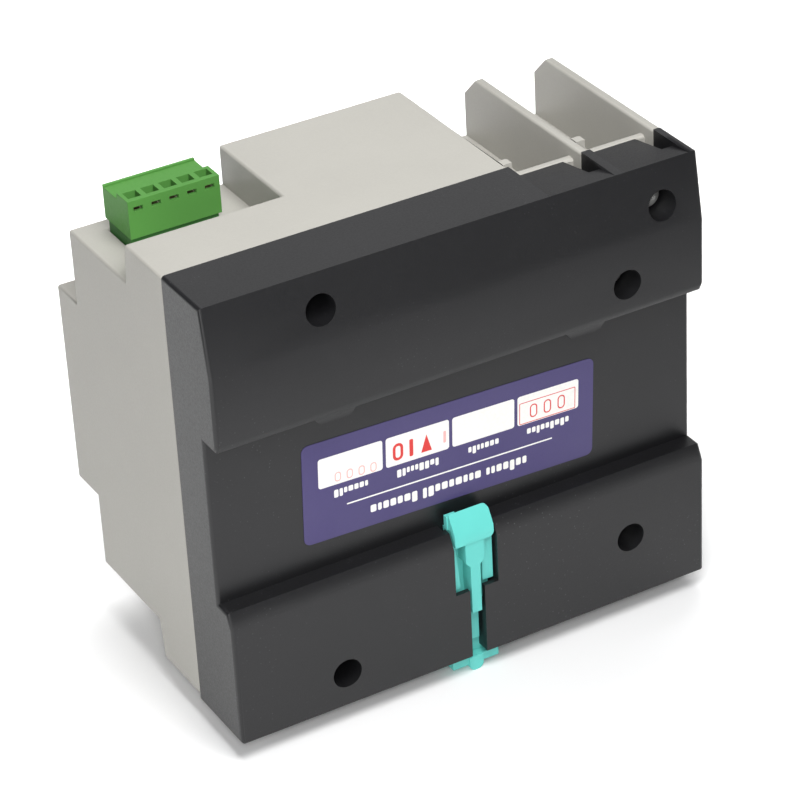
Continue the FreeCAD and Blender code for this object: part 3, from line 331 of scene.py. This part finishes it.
MATERIALS = {
    "black_base": moulded("base_black", (0.0075, 0.0075, 0.0085), 0.40, 0.12, 2600, 0.00003, 0.12),
    "grey_case": moulded("case_grey", (0.345, 0.335, 0.305), 0.5, 0.025, 2200, 0.00003),
    "teal_clip": moulded("clip_teal", (0.12, 0.55, 0.50), 0.4, 0.04, 1500, 0.00001, sheen=0.3),
    "label_purple": printed("label_film", (0.050, 0.038, 0.135), 0.38),
    "screw_steel": metal("screw_zinc", (0.93, 0.93, 0.91), 0.56, (1, 1, 8), 0.05),
    "green_plug": moulded("plug_green", (0.068, 0.215, 0.042), 0.55, 0.05, 1800, 0.00001, sheen=0.25),
    "green_header": moulded("header_green", (0.028, 0.12, 0.024), 0.5, 0.06, 1800, 0.00001, sheen=0.3),
    "clear_pane": clear("pane_clear", (0.97, 0.98, 0.98), 0.03, 1.49),
    "display_glass": moulded("display_cell", (0.20, 0.25, 0.15), 0.2, 0.03, 900, 0.000004),
    "backlight_white": moulded("backlight_diffuser", (0.84, 0.85, 0.80), 0.35, 0.02, 1600, 0.00001),
    "fascia_film": printed("fascia_film", (0.70, 0.70, 0.67), 0.42),
    "button_grey": moulded("button_rubber", (0.10, 0.105, 0.115), 0.55, 0.06, 2200, 0.00002),
    "board_green": solder_mask("board_lacquer", (0.012, 0.11, 0.035), (0.62, 0.55, 0.38)),
    "plated_copper": metal("tinned_copper", (0.72, 0.52, 0.36), 0.3, (14, 1, 1)),
    "cage_steel": metal("cage_zinc", (0.72, 0.68, 0.52), 0.34, (1, 12, 1)),
    "carrier_black": moulded("carrier_black", (0.03, 0.03, 0.032), 0.5, 0.1, 2200, 0.00002),
    "ferrite": banded("core_plates", (0.10, 0.10, 0.105), (0.19, 0.19, 0.20), "Y", 620, 0.5, 0.6),
    "winding_tape": banded("winding_tape", (0.62, 0.42, 0.05), (0.76, 0.55, 0.10), "Z", 130, 0.3),
    "component_black": moulded("epoxy_black", (0.022, 0.022, 0.024), 0.55, 0.1, 3200, 0.00002),
    "component_white": moulded("relay_white", (0.66, 0.66, 0.60), 0.42, 0.03, 2200, 0.00001),
    "film_yellow": moulded("film_yellow", (0.72, 0.42, 0.04), 0.33, 0.04, 1500, 0.00001),
    "can_sleeve": printed("can_sleeve", (0.03, 0.045, 0.09), 0.3),
    "varistor_blue": moulded("dipped_blue", (0.03, 0.09, 0.36), 0.3, 0.1, 500, 0.00006),
    "lamp_red": clear("lamp_red", (0.85, 0.06, 0.04), 0.08, 1.5),
    "guide_clear": clear("guide_clear", (0.92, 0.95, 0.95), 0.05, 1.49),
    "ribbon_grey": banded("ribbon_wires", (0.36, 0.37, 0.40), (0.52, 0.53, 0.55), "X", 390, 0.42),
}
INKS = {
    "label_white": printed("label_white", (0.80, 0.79, 0.76), 0.45),
    "stamp_red": printed("stamp_red", (0.62, 0.035, 0.03), 0.55),
    "stamp_faint": printed("stamp_faint", (0.74, 0.42, 0.40), 0.55),
    "segment_dark": printed("segment_dark", (0.05, 0.06, 0.045), 0.3),
    "fascia_ink": printed("fascia_ink", (0.10, 0.11, 0.13), 0.45),
}


# ---------------------------------------------------------------- piece helpers

SLOT_OF = {row["node"]: row["material_slot"] for row in frame["record"]["subparts"]}


def body_of(node):
    return frame["nodes"][node]["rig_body"]


def settled(piece, node, material=None):
    """The piece rides with the node's body and takes its slot's finish."""
    piece.data.materials.clear()
    piece.data.materials.append(material or MATERIALS[SLOT_OF[node]])
    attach(piece, body_of(node))
    return piece


def stands_for(piece, node):
    settled(piece, node)
    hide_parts(node)
    return piece


def made(name, mesh_builder):
    """A new object from a bmesh."""
    mesh = bpy.data.meshes.new(name)
    mesh_builder.to_mesh(mesh)
    mesh_builder.free()
    piece = bpy.data.objects.new(name, mesh)
    bpy.context.scene.collection.objects.link(piece)
    return piece


def evened(piece, wide=12, flat=3, crease=50):
    """Shades flat faces flat and rounded edges round: wide faces keep their own normals."""
    work = bmesh.new()
    work.from_mesh(piece.data)
    for face in work.faces:
        face.smooth = True
    for edge in work.edges:
        angle = math.degrees(edge.calc_face_angle(0))
        both_wide = min((face.calc_area() for face in edge.link_faces), default=0) > wide * MM ** 2
        edge.smooth = not (angle > crease or both_wide and angle > flat)
    work.to_mesh(piece.data)
    work.free()
    normals = piece.modifiers.new("normals", "WEIGHTED_NORMAL")
    normals.keep_sharp = True
    normals.weight = 100


def welded(node):
    """The node's own surface with its seams welded and its flat faces whole."""
    work = bmesh.new()
    work.from_mesh(frame["nodes"][node].data)
    bmesh.ops.remove_doubles(work, verts=work.verts, dist=0.002 * MM)
    bmesh.ops.dissolve_limit(work, angle_limit=math.radians(0.5), verts=work.verts, edges=work.edges)
    return work


def rounded_edges(work, radius, segments, shortest, bend=40):
    """Rounds the outer edges that are longer than shortest and turn by more than bend degrees."""
    chosen = [edge for edge in work.edges
              if edge.is_manifold and edge.is_convex and edge.calc_length() > shortest * MM
              and edge.calc_face_angle() > math.radians(bend)]
    bmesh.ops.bevel(work, geom=chosen, offset=radius * MM, offset_type="OFFSET", segments=segments,
                    profile=0.5, affect="EDGES", clamp_overlap=True)


def eased(node, radius, segments, shortest, corners=()):
    """The node with its outer edges rounded, as a mould or a tumbler leaves them."""
    work = welded(node)
    if node in LONG_EDGES:
        rounded_edges(work, LONG_EDGES[node], LONG_EDGE_SEGMENTS, LONG_EDGE_SHORTEST)
    rounded_edges(work, radius, segments, shortest)
    piece = made(f"{node}_shape", work)
    for cutter in corners:
        piece = carved(piece, cutter)
    evened(piece)
    return stands_for(piece, node)


def turned(name, profile, centre, axis, steps=48):
    """A turned shape: profile is (radius, place along the axis) from one end to the other."""
    work = bmesh.new()
    along = Vector(axis).normalized()
    side = along.orthogonal().normalized()
    other = along.cross(side)
    rings = []
    for radius, place in profile:
        middle = Vector(centre) + along * place
        if radius == 0:
            rings.append([work.verts.new(middle)] * steps)
            continue
        ring = []
        for step in range(steps):
            angle = 2 * math.pi * step / steps
            ring.append(work.verts.new(middle + radius * (math.cos(angle) * side + math.sin(angle) * other)))
        rings.append(ring)
    for first, second in zip(rings, rings[1:]):
        for step in range(steps):
            after = (step + 1) % steps
            corners = [first[step], first[after], second[after], second[step]]
            kept = [v for index, v in enumerate(corners) if v not in corners[:index]]
            if len(kept) > 2:
                work.faces.new(kept)
    bmesh.ops.recalc_face_normals(work, faces=work.faces)
    return made(name, work)


def islands(node):
    """(lowest corner, highest corner) of each separate solid of a node."""
    work = welded(node)
    left = set(work.verts)
    boxes = []
    while left:
        group = set()
        waiting = [left.pop()]
        while waiting:
            vertex = waiting.pop()
            group.add(vertex)
            for edge in vertex.link_edges:
                other = edge.other_vert(vertex)
                if other in left:
                    left.remove(other)
                    waiting.append(other)
        places = [vertex.co for vertex in group]
        low = Vector([min(place[i] for place in places) for i in range(3)])
        high = Vector([max(place[i] for place in places) for i in range(3)])
        boxes.append((low, high))
    work.free()
    return sorted(boxes, key=lambda box: tuple(box[0]))


def joined(name, pieces):
    """One object from several."""
    work = bmesh.new()
    for piece in pieces:
        piece.data.transform(piece.matrix_world)
        work.from_mesh(piece.data)
        bpy.data.objects.remove(piece)
    return made(name, work)


def carved(piece, cutter):
    """The piece with the cutter's volume taken out."""
    cut = piece.modifiers.new("cut", "BOOLEAN")
    cut.operation = "DIFFERENCE"
    cut.solver = "EXACT"
    cut.object = cutter
    bpy.context.view_layer.update()
    seen = piece.evaluated_get(bpy.context.evaluated_depsgraph_get())
    mesh = bpy.data.meshes.new_from_object(seen)
    piece.modifiers.clear()
    piece.data = mesh
    bpy.data.objects.remove(cutter)
    return piece


def slab(name, low, high):
    """A block between two corners."""
    work = bmesh.new()
    bmesh.ops.create_cube(work, size=1)
    size = Vector(high) - Vector(low)
    for vertex in work.verts:
        vertex.co = Vector(low) + Vector([(vertex.co[i] + 0.5) * size[i] for i in range(3)])
    return made(name, work)


def raised(name, outlines, place, low, high):
    """Flat shapes of (across, up) outlines, lifted from depth low to high; place gives their points."""
    work = bmesh.new()
    for outline in outlines:
        top = [work.verts.new(place(across, up, high)) for across, up in outline]
        foot = [work.verts.new(place(across, up, low)) for across, up in outline]
        work.faces.new(top)
        work.faces.new(list(reversed(foot)))
        for index in range(len(top)):
            after = (index + 1) % len(top)
            work.faces.new((top[index], top[after], foot[after], foot[index]))
    bmesh.ops.recalc_face_normals(work, faces=work.faces)
    return made(name, work)


def rounded_outline(middle, half_wide, half_tall, radius, steps=4):
    points = []
    corners = ((1, 1, 0), (-1, 1, 90), (-1, -1, 180), (1, -1, 270))
    for across, up, start in corners:
        for step in range(steps + 1):
            angle = math.radians(start + 90 * step / steps)
            points.append((middle[0] + across * (half_wide - radius) + radius * math.cos(angle),
                           middle[1] + up * (half_tall - radius) + radius * math.sin(angle)))
    return points


def ring_outlines(outer, inner):
    """Quads between two outlines with the same number of points."""
    count = len(outer)
    return [[outer[i], outer[(i + 1) % count], inner[(i + 1) % count], inner[i]] for i in range(count)]


# ---------------------------------------------------------------- the label on the rail channel's floor

LABEL_TILT = math.radians(1.93)


def label_place(across, up, depth):
    """A point on the label: across along its long side, up along its short side, depth out of the case."""
    low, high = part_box("rear_label")
    middle = (low + high) / 2
    turn_across = across * math.cos(LABEL_TILT) - up * math.sin(LABEL_TILT)
    turn_up = across * math.sin(LABEL_TILT) + up * math.cos(LABEL_TILT)
    return Vector((middle.x + turn_across, low.y + depth, middle.z + turn_up))


def label_halves():
    """Half the label's width and height, measured square to its own sides."""
    low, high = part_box("rear_label")
    middle = (low + high) / 2
    across, up = [], []
    for vertex in frame["nodes"]["rear_label"].data.vertices:
        side, rise = vertex.co.x - middle.x, vertex.co.z - middle.z
        across.append(side * math.cos(LABEL_TILT) + rise * math.sin(LABEL_TILT))
        up.append(rise * math.cos(LABEL_TILT) - side * math.sin(LABEL_TILT))
    return max(across), max(up)


def greeked(words, middle, height, seed):
    """A row of small blocks in the rhythm of print, with no letters in it; it reads from -X to +X."""
    draw = random.Random(seed)
    gap, space = 0.16 * height, 0.55 * height
    letters = [[height * draw.uniform(0.34, 0.62) for _ in range(count)] for count in words]
    length = sum(sum(word) + gap * (len(word) - 1) for word in letters) + space * (len(words) - 1)
    left = middle[0] - length / 2
    outlines = []
    for word in letters:
        for wide in word:
            tall = height if draw.random() < 0.3 else height * 0.7
            centre = (left + wide / 2, middle[1] + (height * 0.7 - tall) / 2)
            outlines.append(rounded_outline(centre, wide / 2, tall / 2, 0.12 * height, 2))
            left += wide + gap
        left += space - gap
    return outlines


def label():
    half_wide, half_tall = label_halves()
    film_thick, print_thick, stamp_thick = 0.10 * MM, 0.12 * MM, 0.135 * MM
    film = raised("label_film", [rounded_outline((0, 0), half_wide, half_tall, 1.5 * MM, 6)],
                  label_place, 0, film_thick)
    stands_for(film, "rear_label")
    pane_pitch = half_wide * 0.4528
    pane_half, pane_tall = pane_pitch * 0.475, half_tall * 0.296
    pane_up = half_tall * 0.36
    centres = [pane_pitch * (index - 1.5) for index in range(4)]
    white = [rounded_outline((across, pane_up), pane_half, pane_tall, 0.55 * MM) for across in centres]
    rule_up, title_up, caption_up = -0.40 * half_tall, -0.66 * half_tall, -0.10 * half_tall
    white.append(rounded_outline((0, rule_up), half_wide * 0.71, 0.15 * MM, 0.1 * MM, 1))
    white += greeked((7, 9, 7), (0.4 * MM, title_up), 2.3 * MM, 3)
    for index, count in enumerate((9, 7, 9, 7)):
        white += greeked((count,), (centres[index], caption_up), 1.7 * MM, 11 + index)
    settled(raised("label_print", white, label_place, film_thick, print_thick), "rear_label",
            INKS["label_white"])
    stamps(centres, pane_up, pane_half, pane_tall, print_thick, stamp_thick)


def mark_ring(middle, half_wide, half_tall, stroke):
    outer = rounded_outline(middle, half_wide, half_tall, half_wide * 0.95)
    inner = rounded_outline(middle, half_wide - stroke, half_tall - stroke, (half_wide - stroke) * 0.95)
    return ring_outlines(outer, inner)


def mark_bar(middle, half_wide, half_tall):
    return [rounded_outline(middle, half_wide, half_tall, half_wide * 0.6, 2)]


def mark_wedge(middle, half_wide, half_tall):
    across, up = middle
    foot = up - half_tall
    return [[(across - half_wide, foot), (across + half_wide, foot), (across, up + half_tall)]]


def stamps(centres, up, half_wide, half_tall, low, high):
    """Plain inspection marks: rings, bars and wedges, and one framed row."""
    bold_up, bold_half = up - half_tall * 0.12, 1.9 * MM
    bold = mark_ring((centres[2] + half_wide * 0.62, bold_up), 1.15 * MM, bold_half, 0.6 * MM)
    bold += mark_bar((centres[2] + half_wide * 0.2, bold_up), 0.42 * MM, bold_half)
    bold += mark_wedge((centres[2] - half_wide * 0.28, bold_up), 1.2 * MM, bold_half)
    frame_middle = (centres[0] + half_wide * 0.02, up - half_tall * 0.22)
    edge = 0.16 * MM
    outer = rounded_outline(frame_middle, half_wide * 0.92, half_tall * 0.74, 0.2 * MM, 2)
    inner = rounded_outline(frame_middle, half_wide * 0.92 - edge, half_tall * 0.74 - edge, 0.1 * MM, 2)
    bold += ring_outlines(outer, inner)
    for index in range(3):
        middle = (frame_middle[0] + (index - 1) * 3.2 * MM, frame_middle[1])
        bold += mark_ring(middle, 0.85 * MM, 1.5 * MM, 0.26 * MM)
    settled(raised("label_stamps", bold, label_place, low, high), "rear_label", INKS["stamp_red"])
    faint = []
    for index in range(4):
        middle = (centres[3] + (index * 2.6 - 5.0) * MM, up - half_tall * 0.62 + index * 0.12 * MM)
        faint += mark_ring(middle, 0.7 * MM, 1.05 * MM, 0.24 * MM)
    faint += mark_bar((centres[2] - half_wide * 0.86, up - half_tall * 0.1), 0.3 * MM, 1.3 * MM)
    settled(raised("label_stamps_faint", faint, label_place, low, high), "rear_label", INKS["stamp_faint"])


# ---------------------------------------------------------------- case screws

def drive_cutter(centre, front, span, wide, deep, turn):
    """One tapered slot of a driver's cross, cut into a head that faces +Y."""
    work = bmesh.new()
    bmesh.ops.create_cube(work, size=1)
    long_way = Vector((math.cos(turn), 0, math.sin(turn)))
    cross_way = Vector((-math.sin(turn), 0, math.cos(turn)))
    for vertex in work.verts:
        share = 1 if vertex.co.y > 0 else 0.45
        place = front + deep if vertex.co.y > 0 else front - deep
        vertex.co = (Vector((centre[0], place, centre[1])) + long_way * (span * share * vertex.co.x)
                     + cross_way * (wide * share * vertex.co.z))
    bmesh.ops.recalc_face_normals(work, faces=work.faces)
    return made("drive_cutter", work)


def case_screw(low, high, turn):
    """A pan-head screw for plastic, its head towards +Y."""
    centre = ((low.x + high.x) / 2, (low.z + high.z) / 2)
    radius = (high.x - low.x) / 2
    head = 1.9 * MM
    shank = 1.42 * MM
    dome = [(0, high.y), (radius * 0.35, high.y - 0.03 * MM), (radius * 0.7, high.y - 0.16 * MM),
            (radius * 0.9, high.y - 0.45 * MM), (radius * 0.985, high.y - 0.85 * MM),
            (radius, high.y - 1.25 * MM), (radius * 0.97, high.y - head)]
    thread = [(shank, high.y - head)]
    pitch = 1.1 * MM
    place = high.y - head - pitch
    while place > low.y + pitch:
        thread += [(shank, place), (shank * 0.78, place - pitch * 0.3), (shank * 0.78, place - pitch * 0.7)]
        place -= pitch
    tip = [(shank * 0.7, place), (shank * 0.4, low.y + 0.3 * MM), (0, low.y)]
    screw = turned("screw", dome + thread + tip, (centre[0], 0, centre[1]), (0, 1, 0))
    for slot_turn in (turn, turn + math.pi / 2):
        screw = carved(screw, drive_cutter(centre, high.y, 4.2 * MM, 1.1 * MM, 1.2 * MM, slot_turn))
    return screw


def case_screws():
    for node in ("shallow_case_screws", "deep_case_screws"):
        screws = [case_screw(low, high, 0.5 + 0.7 * index) for index, (low, high) in enumerate(islands(node))]
        group = joined(f"{node}_turned", screws)
        evened(group)
        stands_for(group, node)


# ---------------------------------------------------------------- parts inside the case

def can_profile(radius, foot, top):
    """A sleeved can: a rolled groove near its foot and a rim round its top."""
    return [(0, foot), (radius * 0.9, foot), (radius, foot + 0.4 * MM), (radius, foot + 1.6 * MM),
            (radius * 0.93, foot + 2.0 * MM), (radius * 0.93, foot + 2.5 * MM), (radius, foot + 2.9 * MM),
            (radius, top - 0.6 * MM), (radius * 0.94, top), (radius * 0.82, top),
            (radius * 0.8, top - 0.25 * MM),
            (0, top - 0.25 * MM)]


def disc_profile(radius, foot, top):
    """A dipped disc, thickest at its middle."""
    middle, half = (foot + top) / 2, (top - foot) / 2
    angles = [math.pi * (step / 12 - 0.5) for step in range(13)]
    flat = 0.55
    rounds = [(radius * (flat + (1 - flat) * math.cos(a)), middle + half * math.sin(a)) for a in angles]
    return [(0, foot)] + rounds + [(0, top)]


def coin_profile(radius, foot, top):
    """A coin cell: the wide can, its crimp and the narrower cap."""
    step = foot + (top - foot) * 0.72
    return [(0, foot), (radius * 0.96, foot), (radius, foot + 0.2 * MM), (radius, step - 0.2 * MM),
            (radius * 0.97, step), (radius * 0.86, step), (radius * 0.84, top - 0.15 * MM),
            (radius * 0.8, top), (0, top)]


def round_parts():
    """The round parts on the main board stand on it, with their axes along Y."""
    profiles = {"smoothing_capacitors": can_profile, "varistor": disc_profile, "backup_battery": coin_profile}
    for node, profile in profiles.items():
        shapes = []
        for low, high in islands(node):
            centre = ((low.x + high.x) / 2, 0, (low.z + high.z) / 2)
            radius = (high.x - low.x) / 2
            shapes.append(turned("part", profile(radius, -high.y, -low.y), centre, (0, -1, 0)))
        group = joined(f"{node}_turned", shapes)
        evened(group)
        stands_for(group, node)


def chip_legs():
    """Bent legs along the long sides of the small packages on the main board."""
    shapes = []
    leg, pitch = 0.25 * MM, 1.27 * MM
    heel, toe = 0.45 * MM, 0.7 * MM
    for node in ("board_chips", "optocouplers"):
        for low, high in islands(node):
            count = int((high.x - low.x - pitch) / pitch)
            first = (low.x + high.x) / 2 - pitch * (count - 1) / 2
            mid_y = (low.y + high.y) / 2
            for side, reach in ((low.z, -1), (high.z, 1)):
                for index in range(count):
                    across = first + pitch * index
                    left, right = across - leg, across + leg
                    arm = sorted((side, side + reach * toe))
                    foot = sorted((side + reach * heel, side + reach * toe))
                    shapes.append(slab("leg", (left, mid_y, arm[0]), (right, mid_y + leg, arm[1])))
                    shapes.append(slab("leg", (left, mid_y, foot[0]), (right, high.y, foot[1])))
    legs = joined("chip_legs", shapes)
    settled(legs, "board_chips", MATERIALS["plated_copper"])


# ---------------------------------------------------------------- display and front prints

SEGMENTS = {"top": (0, 1, True), "middle": (0, 0, True), "foot": (0, -1, True),
            "upper_left": (-1, 0.5, False), "upper_right": (1, 0.5, False),
            "lower_left": (-1, -0.5, False), "lower_right": (1, -0.5, False)}


def digit(middle, half_wide, half_tall, stroke):
    """The seven bars of one figure, each a long hexagon."""
    outlines = []
    for across, up, lying in SEGMENTS.values():
        centre = (middle[0] + across * half_wide, middle[1] + up * half_tall)
        half = (half_wide if lying else half_tall / 2) - stroke * 0.6
        long_way, cross_way = ((1, 0), (0, 1)) if lying else ((0, 1), (1, 0))
        corners = ((-half - stroke / 2, 0), (-half, stroke / 2), (half, stroke / 2), (half + stroke / 2, 0),
                   (half, -stroke / 2), (-half, -stroke / 2))
        outlines.append([(centre[0] + a * long_way[0] + b * cross_way[0],
                          centre[1] + a * long_way[1] + b * cross_way[1]) for a, b in corners])
    return outlines


def front_place(surface):
    """Points on a face that looks towards -Y; depth goes out of the case."""
    def place(across, up, depth):
        return Vector((across, surface - depth, up))
    return place


def display_figures():
    """The cell's unlit figures: a row of large ones, a row of small ones and a line of pointers."""
    low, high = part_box("lcd_glass")
    middle = (low + high) / 2
    wide, tall = high.x - low.x, high.z - low.z
    outlines = []
    for index in range(7):
        across = middle.x + (index - 3) * wide * 0.115
        outlines += digit((across, middle.z + tall * 0.10), wide * 0.036, tall * 0.185, 0.9 * MM)
        outlines += mark_bar((across - wide * 0.058, middle.z - tall * 0.09), 0.3 * MM, 0.3 * MM)
    for index in range(5):
        across = middle.x + (index - 2) * wide * 0.16
        outlines += mark_bar((across, middle.z - tall * 0.28), wide * 0.05, 0.35 * MM)
    figures = raised("display_figures", outlines, front_place(low.y), 0, 0.02 * MM)
    settled(figures, "lcd_glass", INKS["segment_dark"])


def fascia_print():
    """A thin frame round the window, rings round the buttons, and greeked captions."""
    fascia_low, fascia_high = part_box("front_fascia")
    pane_low, pane_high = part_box("display_window")
    middle = ((pane_low.x + pane_high.x) / 2, (pane_low.z + pane_high.z) / 2)
    half_wide = (pane_high.x - pane_low.x) / 2
    half_tall = (pane_high.z - pane_low.z) / 2
    border, stroke = 1.2 * MM, 0.35 * MM
    outlines = ring_outlines(
        rounded_outline(middle, half_wide + border, half_tall + border, 1 * MM),
        rounded_outline(middle, half_wide + border - stroke, half_tall + border - stroke, 0.8 * MM))
    captions_up = (fascia_low.z + pane_low.z) / 2 - 0.4 * MM
    outlines += greeked((5, 3, 6, 4), (middle[0], captions_up), 1.4 * MM, 21)
    outlines += greeked((6, 8), (middle[0], (fascia_high.z + pane_high.z) / 2 + 0.4 * MM), 1.6 * MM, 22)
    for node, seed in (("page_button", 31), ("reset_button", 32)):
        low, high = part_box(node)
        centre = ((low.x + high.x) / 2, (low.z + high.z) / 2)
        radius = (high.x - low.x) / 2
        outlines += ring_outlines(rounded_outline(centre, radius, radius, radius * 0.99, 8),
                                  rounded_outline(centre, radius - stroke, radius - stroke, radius * 0.9, 8))
        outlines += greeked((4,), (centre[0], low.z - 1.5 * MM), 1.2 * MM, seed)
    for index, (low, high) in enumerate(islands("light_guides")):
        outlines += greeked((4,), ((low.x + high.x) / 2, high.z + 1.6 * MM), 1.2 * MM, 41 + index)
    ink = raised("fascia_print", outlines, front_place(fascia_low.y), -0.02 * MM, 0.03 * MM)
    settled(ink, "front_fascia", INKS["fascia_ink"])


# ---------------------------------------------------------------- mouldings and metal with eased edges

EASED_NODES = {
    0.45: ("rear_base", "front_housing", "latching_relay", "current_transformer", "transformer_winding"),
    0.25: ("din_clip", "signal_plug", "page_button", "reset_button", "input_capacitor", "transformer_core"),
    0.18: ("signal_header", "top_terminal_block", "bottom_terminal_block", "display_window", "board_chips",
           "optocouplers", "button_switches", "lcd_backlight", "live_out_busbar", "live_in_busbar",
           "shunt_strip", "neutral_busbar"),
    0.12: ("live_out_cage", "neutral_out_cage", "live_in_cage", "neutral_in_cage", "live_out_screw",
           "neutral_out_screw", "live_in_screw", "neutral_in_screw", "lcd_glass", "display_board",
           "main_board", "interface_board", "board_spacers", "board_ribbon", "page_switch_plunger",
           "reset_switch_plunger", "light_guides", "status_lights"),
    0.07: ("header_pins", "contact_sockets", "front_fascia"),
}
LONG_EDGES = {"front_housing": 0.8}
LONG_EDGE_SEGMENTS = 4
LONG_EDGE_SHORTEST = 8
SMALLEST_SHARP_EDGE = {0.45: 1.2, 0.25: 0.8, 0.18: 0.8, 0.12: 0.5, 0.07: 0.5}


def corner_cutter(corner, inward, radius, depths):
    """What is left outside a rounded corner; inward gives the signs towards the piece, in X and Z."""
    middle = (corner[0] + inward[0] * radius, corner[1] + inward[1] * radius)
    spare = 0.3 * MM
    steps = 8
    past_x, past_z = corner[0] - inward[0] * spare, corner[1] - inward[1] * spare
    outer = [(middle[0], past_z), (past_x, past_z), (past_x, middle[1])]
    arc = []
    for step in range(steps + 1):
        angle = math.pi / 2 * step / steps
        arc.append((middle[0] - inward[0] * radius * math.cos(angle),
                    middle[1] - inward[1] * radius * math.sin(angle)))
    return raised("corner_cutter", [outer + arc], front_place(0), -depths[0], -depths[1])


def clip_corners():
    """The clip head's rounded corners on its -X side, and the small round on its +X side."""
    low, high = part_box("din_clip")
    half_head = 4.4 * MM
    head_foot = -21.8 * MM
    large, small, lower = 1.5 * MM, 0.5 * MM, 1.2 * MM
    past = high.y + MM
    head_back, lip_back = 2.2 * MM, 4.1 * MM
    return [corner_cutter((-half_head, high.z), (1, -1), large, (low.y - MM, past)),
            corner_cutter((half_head, high.z), (-1, -1), small, (head_back, past)),
            corner_cutter((-half_head, head_foot), (1, 1), lower, (lip_back, past))]


def eased_pieces():
    for radius, nodes in EASED_NODES.items():
        for node in nodes:
            corners = clip_corners() if node == "din_clip" else []
            eased(node, radius, 3 if radius > 0.2 else 2, SMALLEST_SHARP_EDGE[radius], corners)
    for word in ("one", "two", "three", "four", "five"):
        eased(f"plug_screw_{word}", 0.07, 2, 0.3)
        eased(f"plug_clamp_{word}", 0.07, 2, 0.5)


camera()
floor(Vector(cad_low))
studio()
eased_pieces()
label()
case_screws()
round_parts()
chip_legs()
display_figures()
fascia_print()
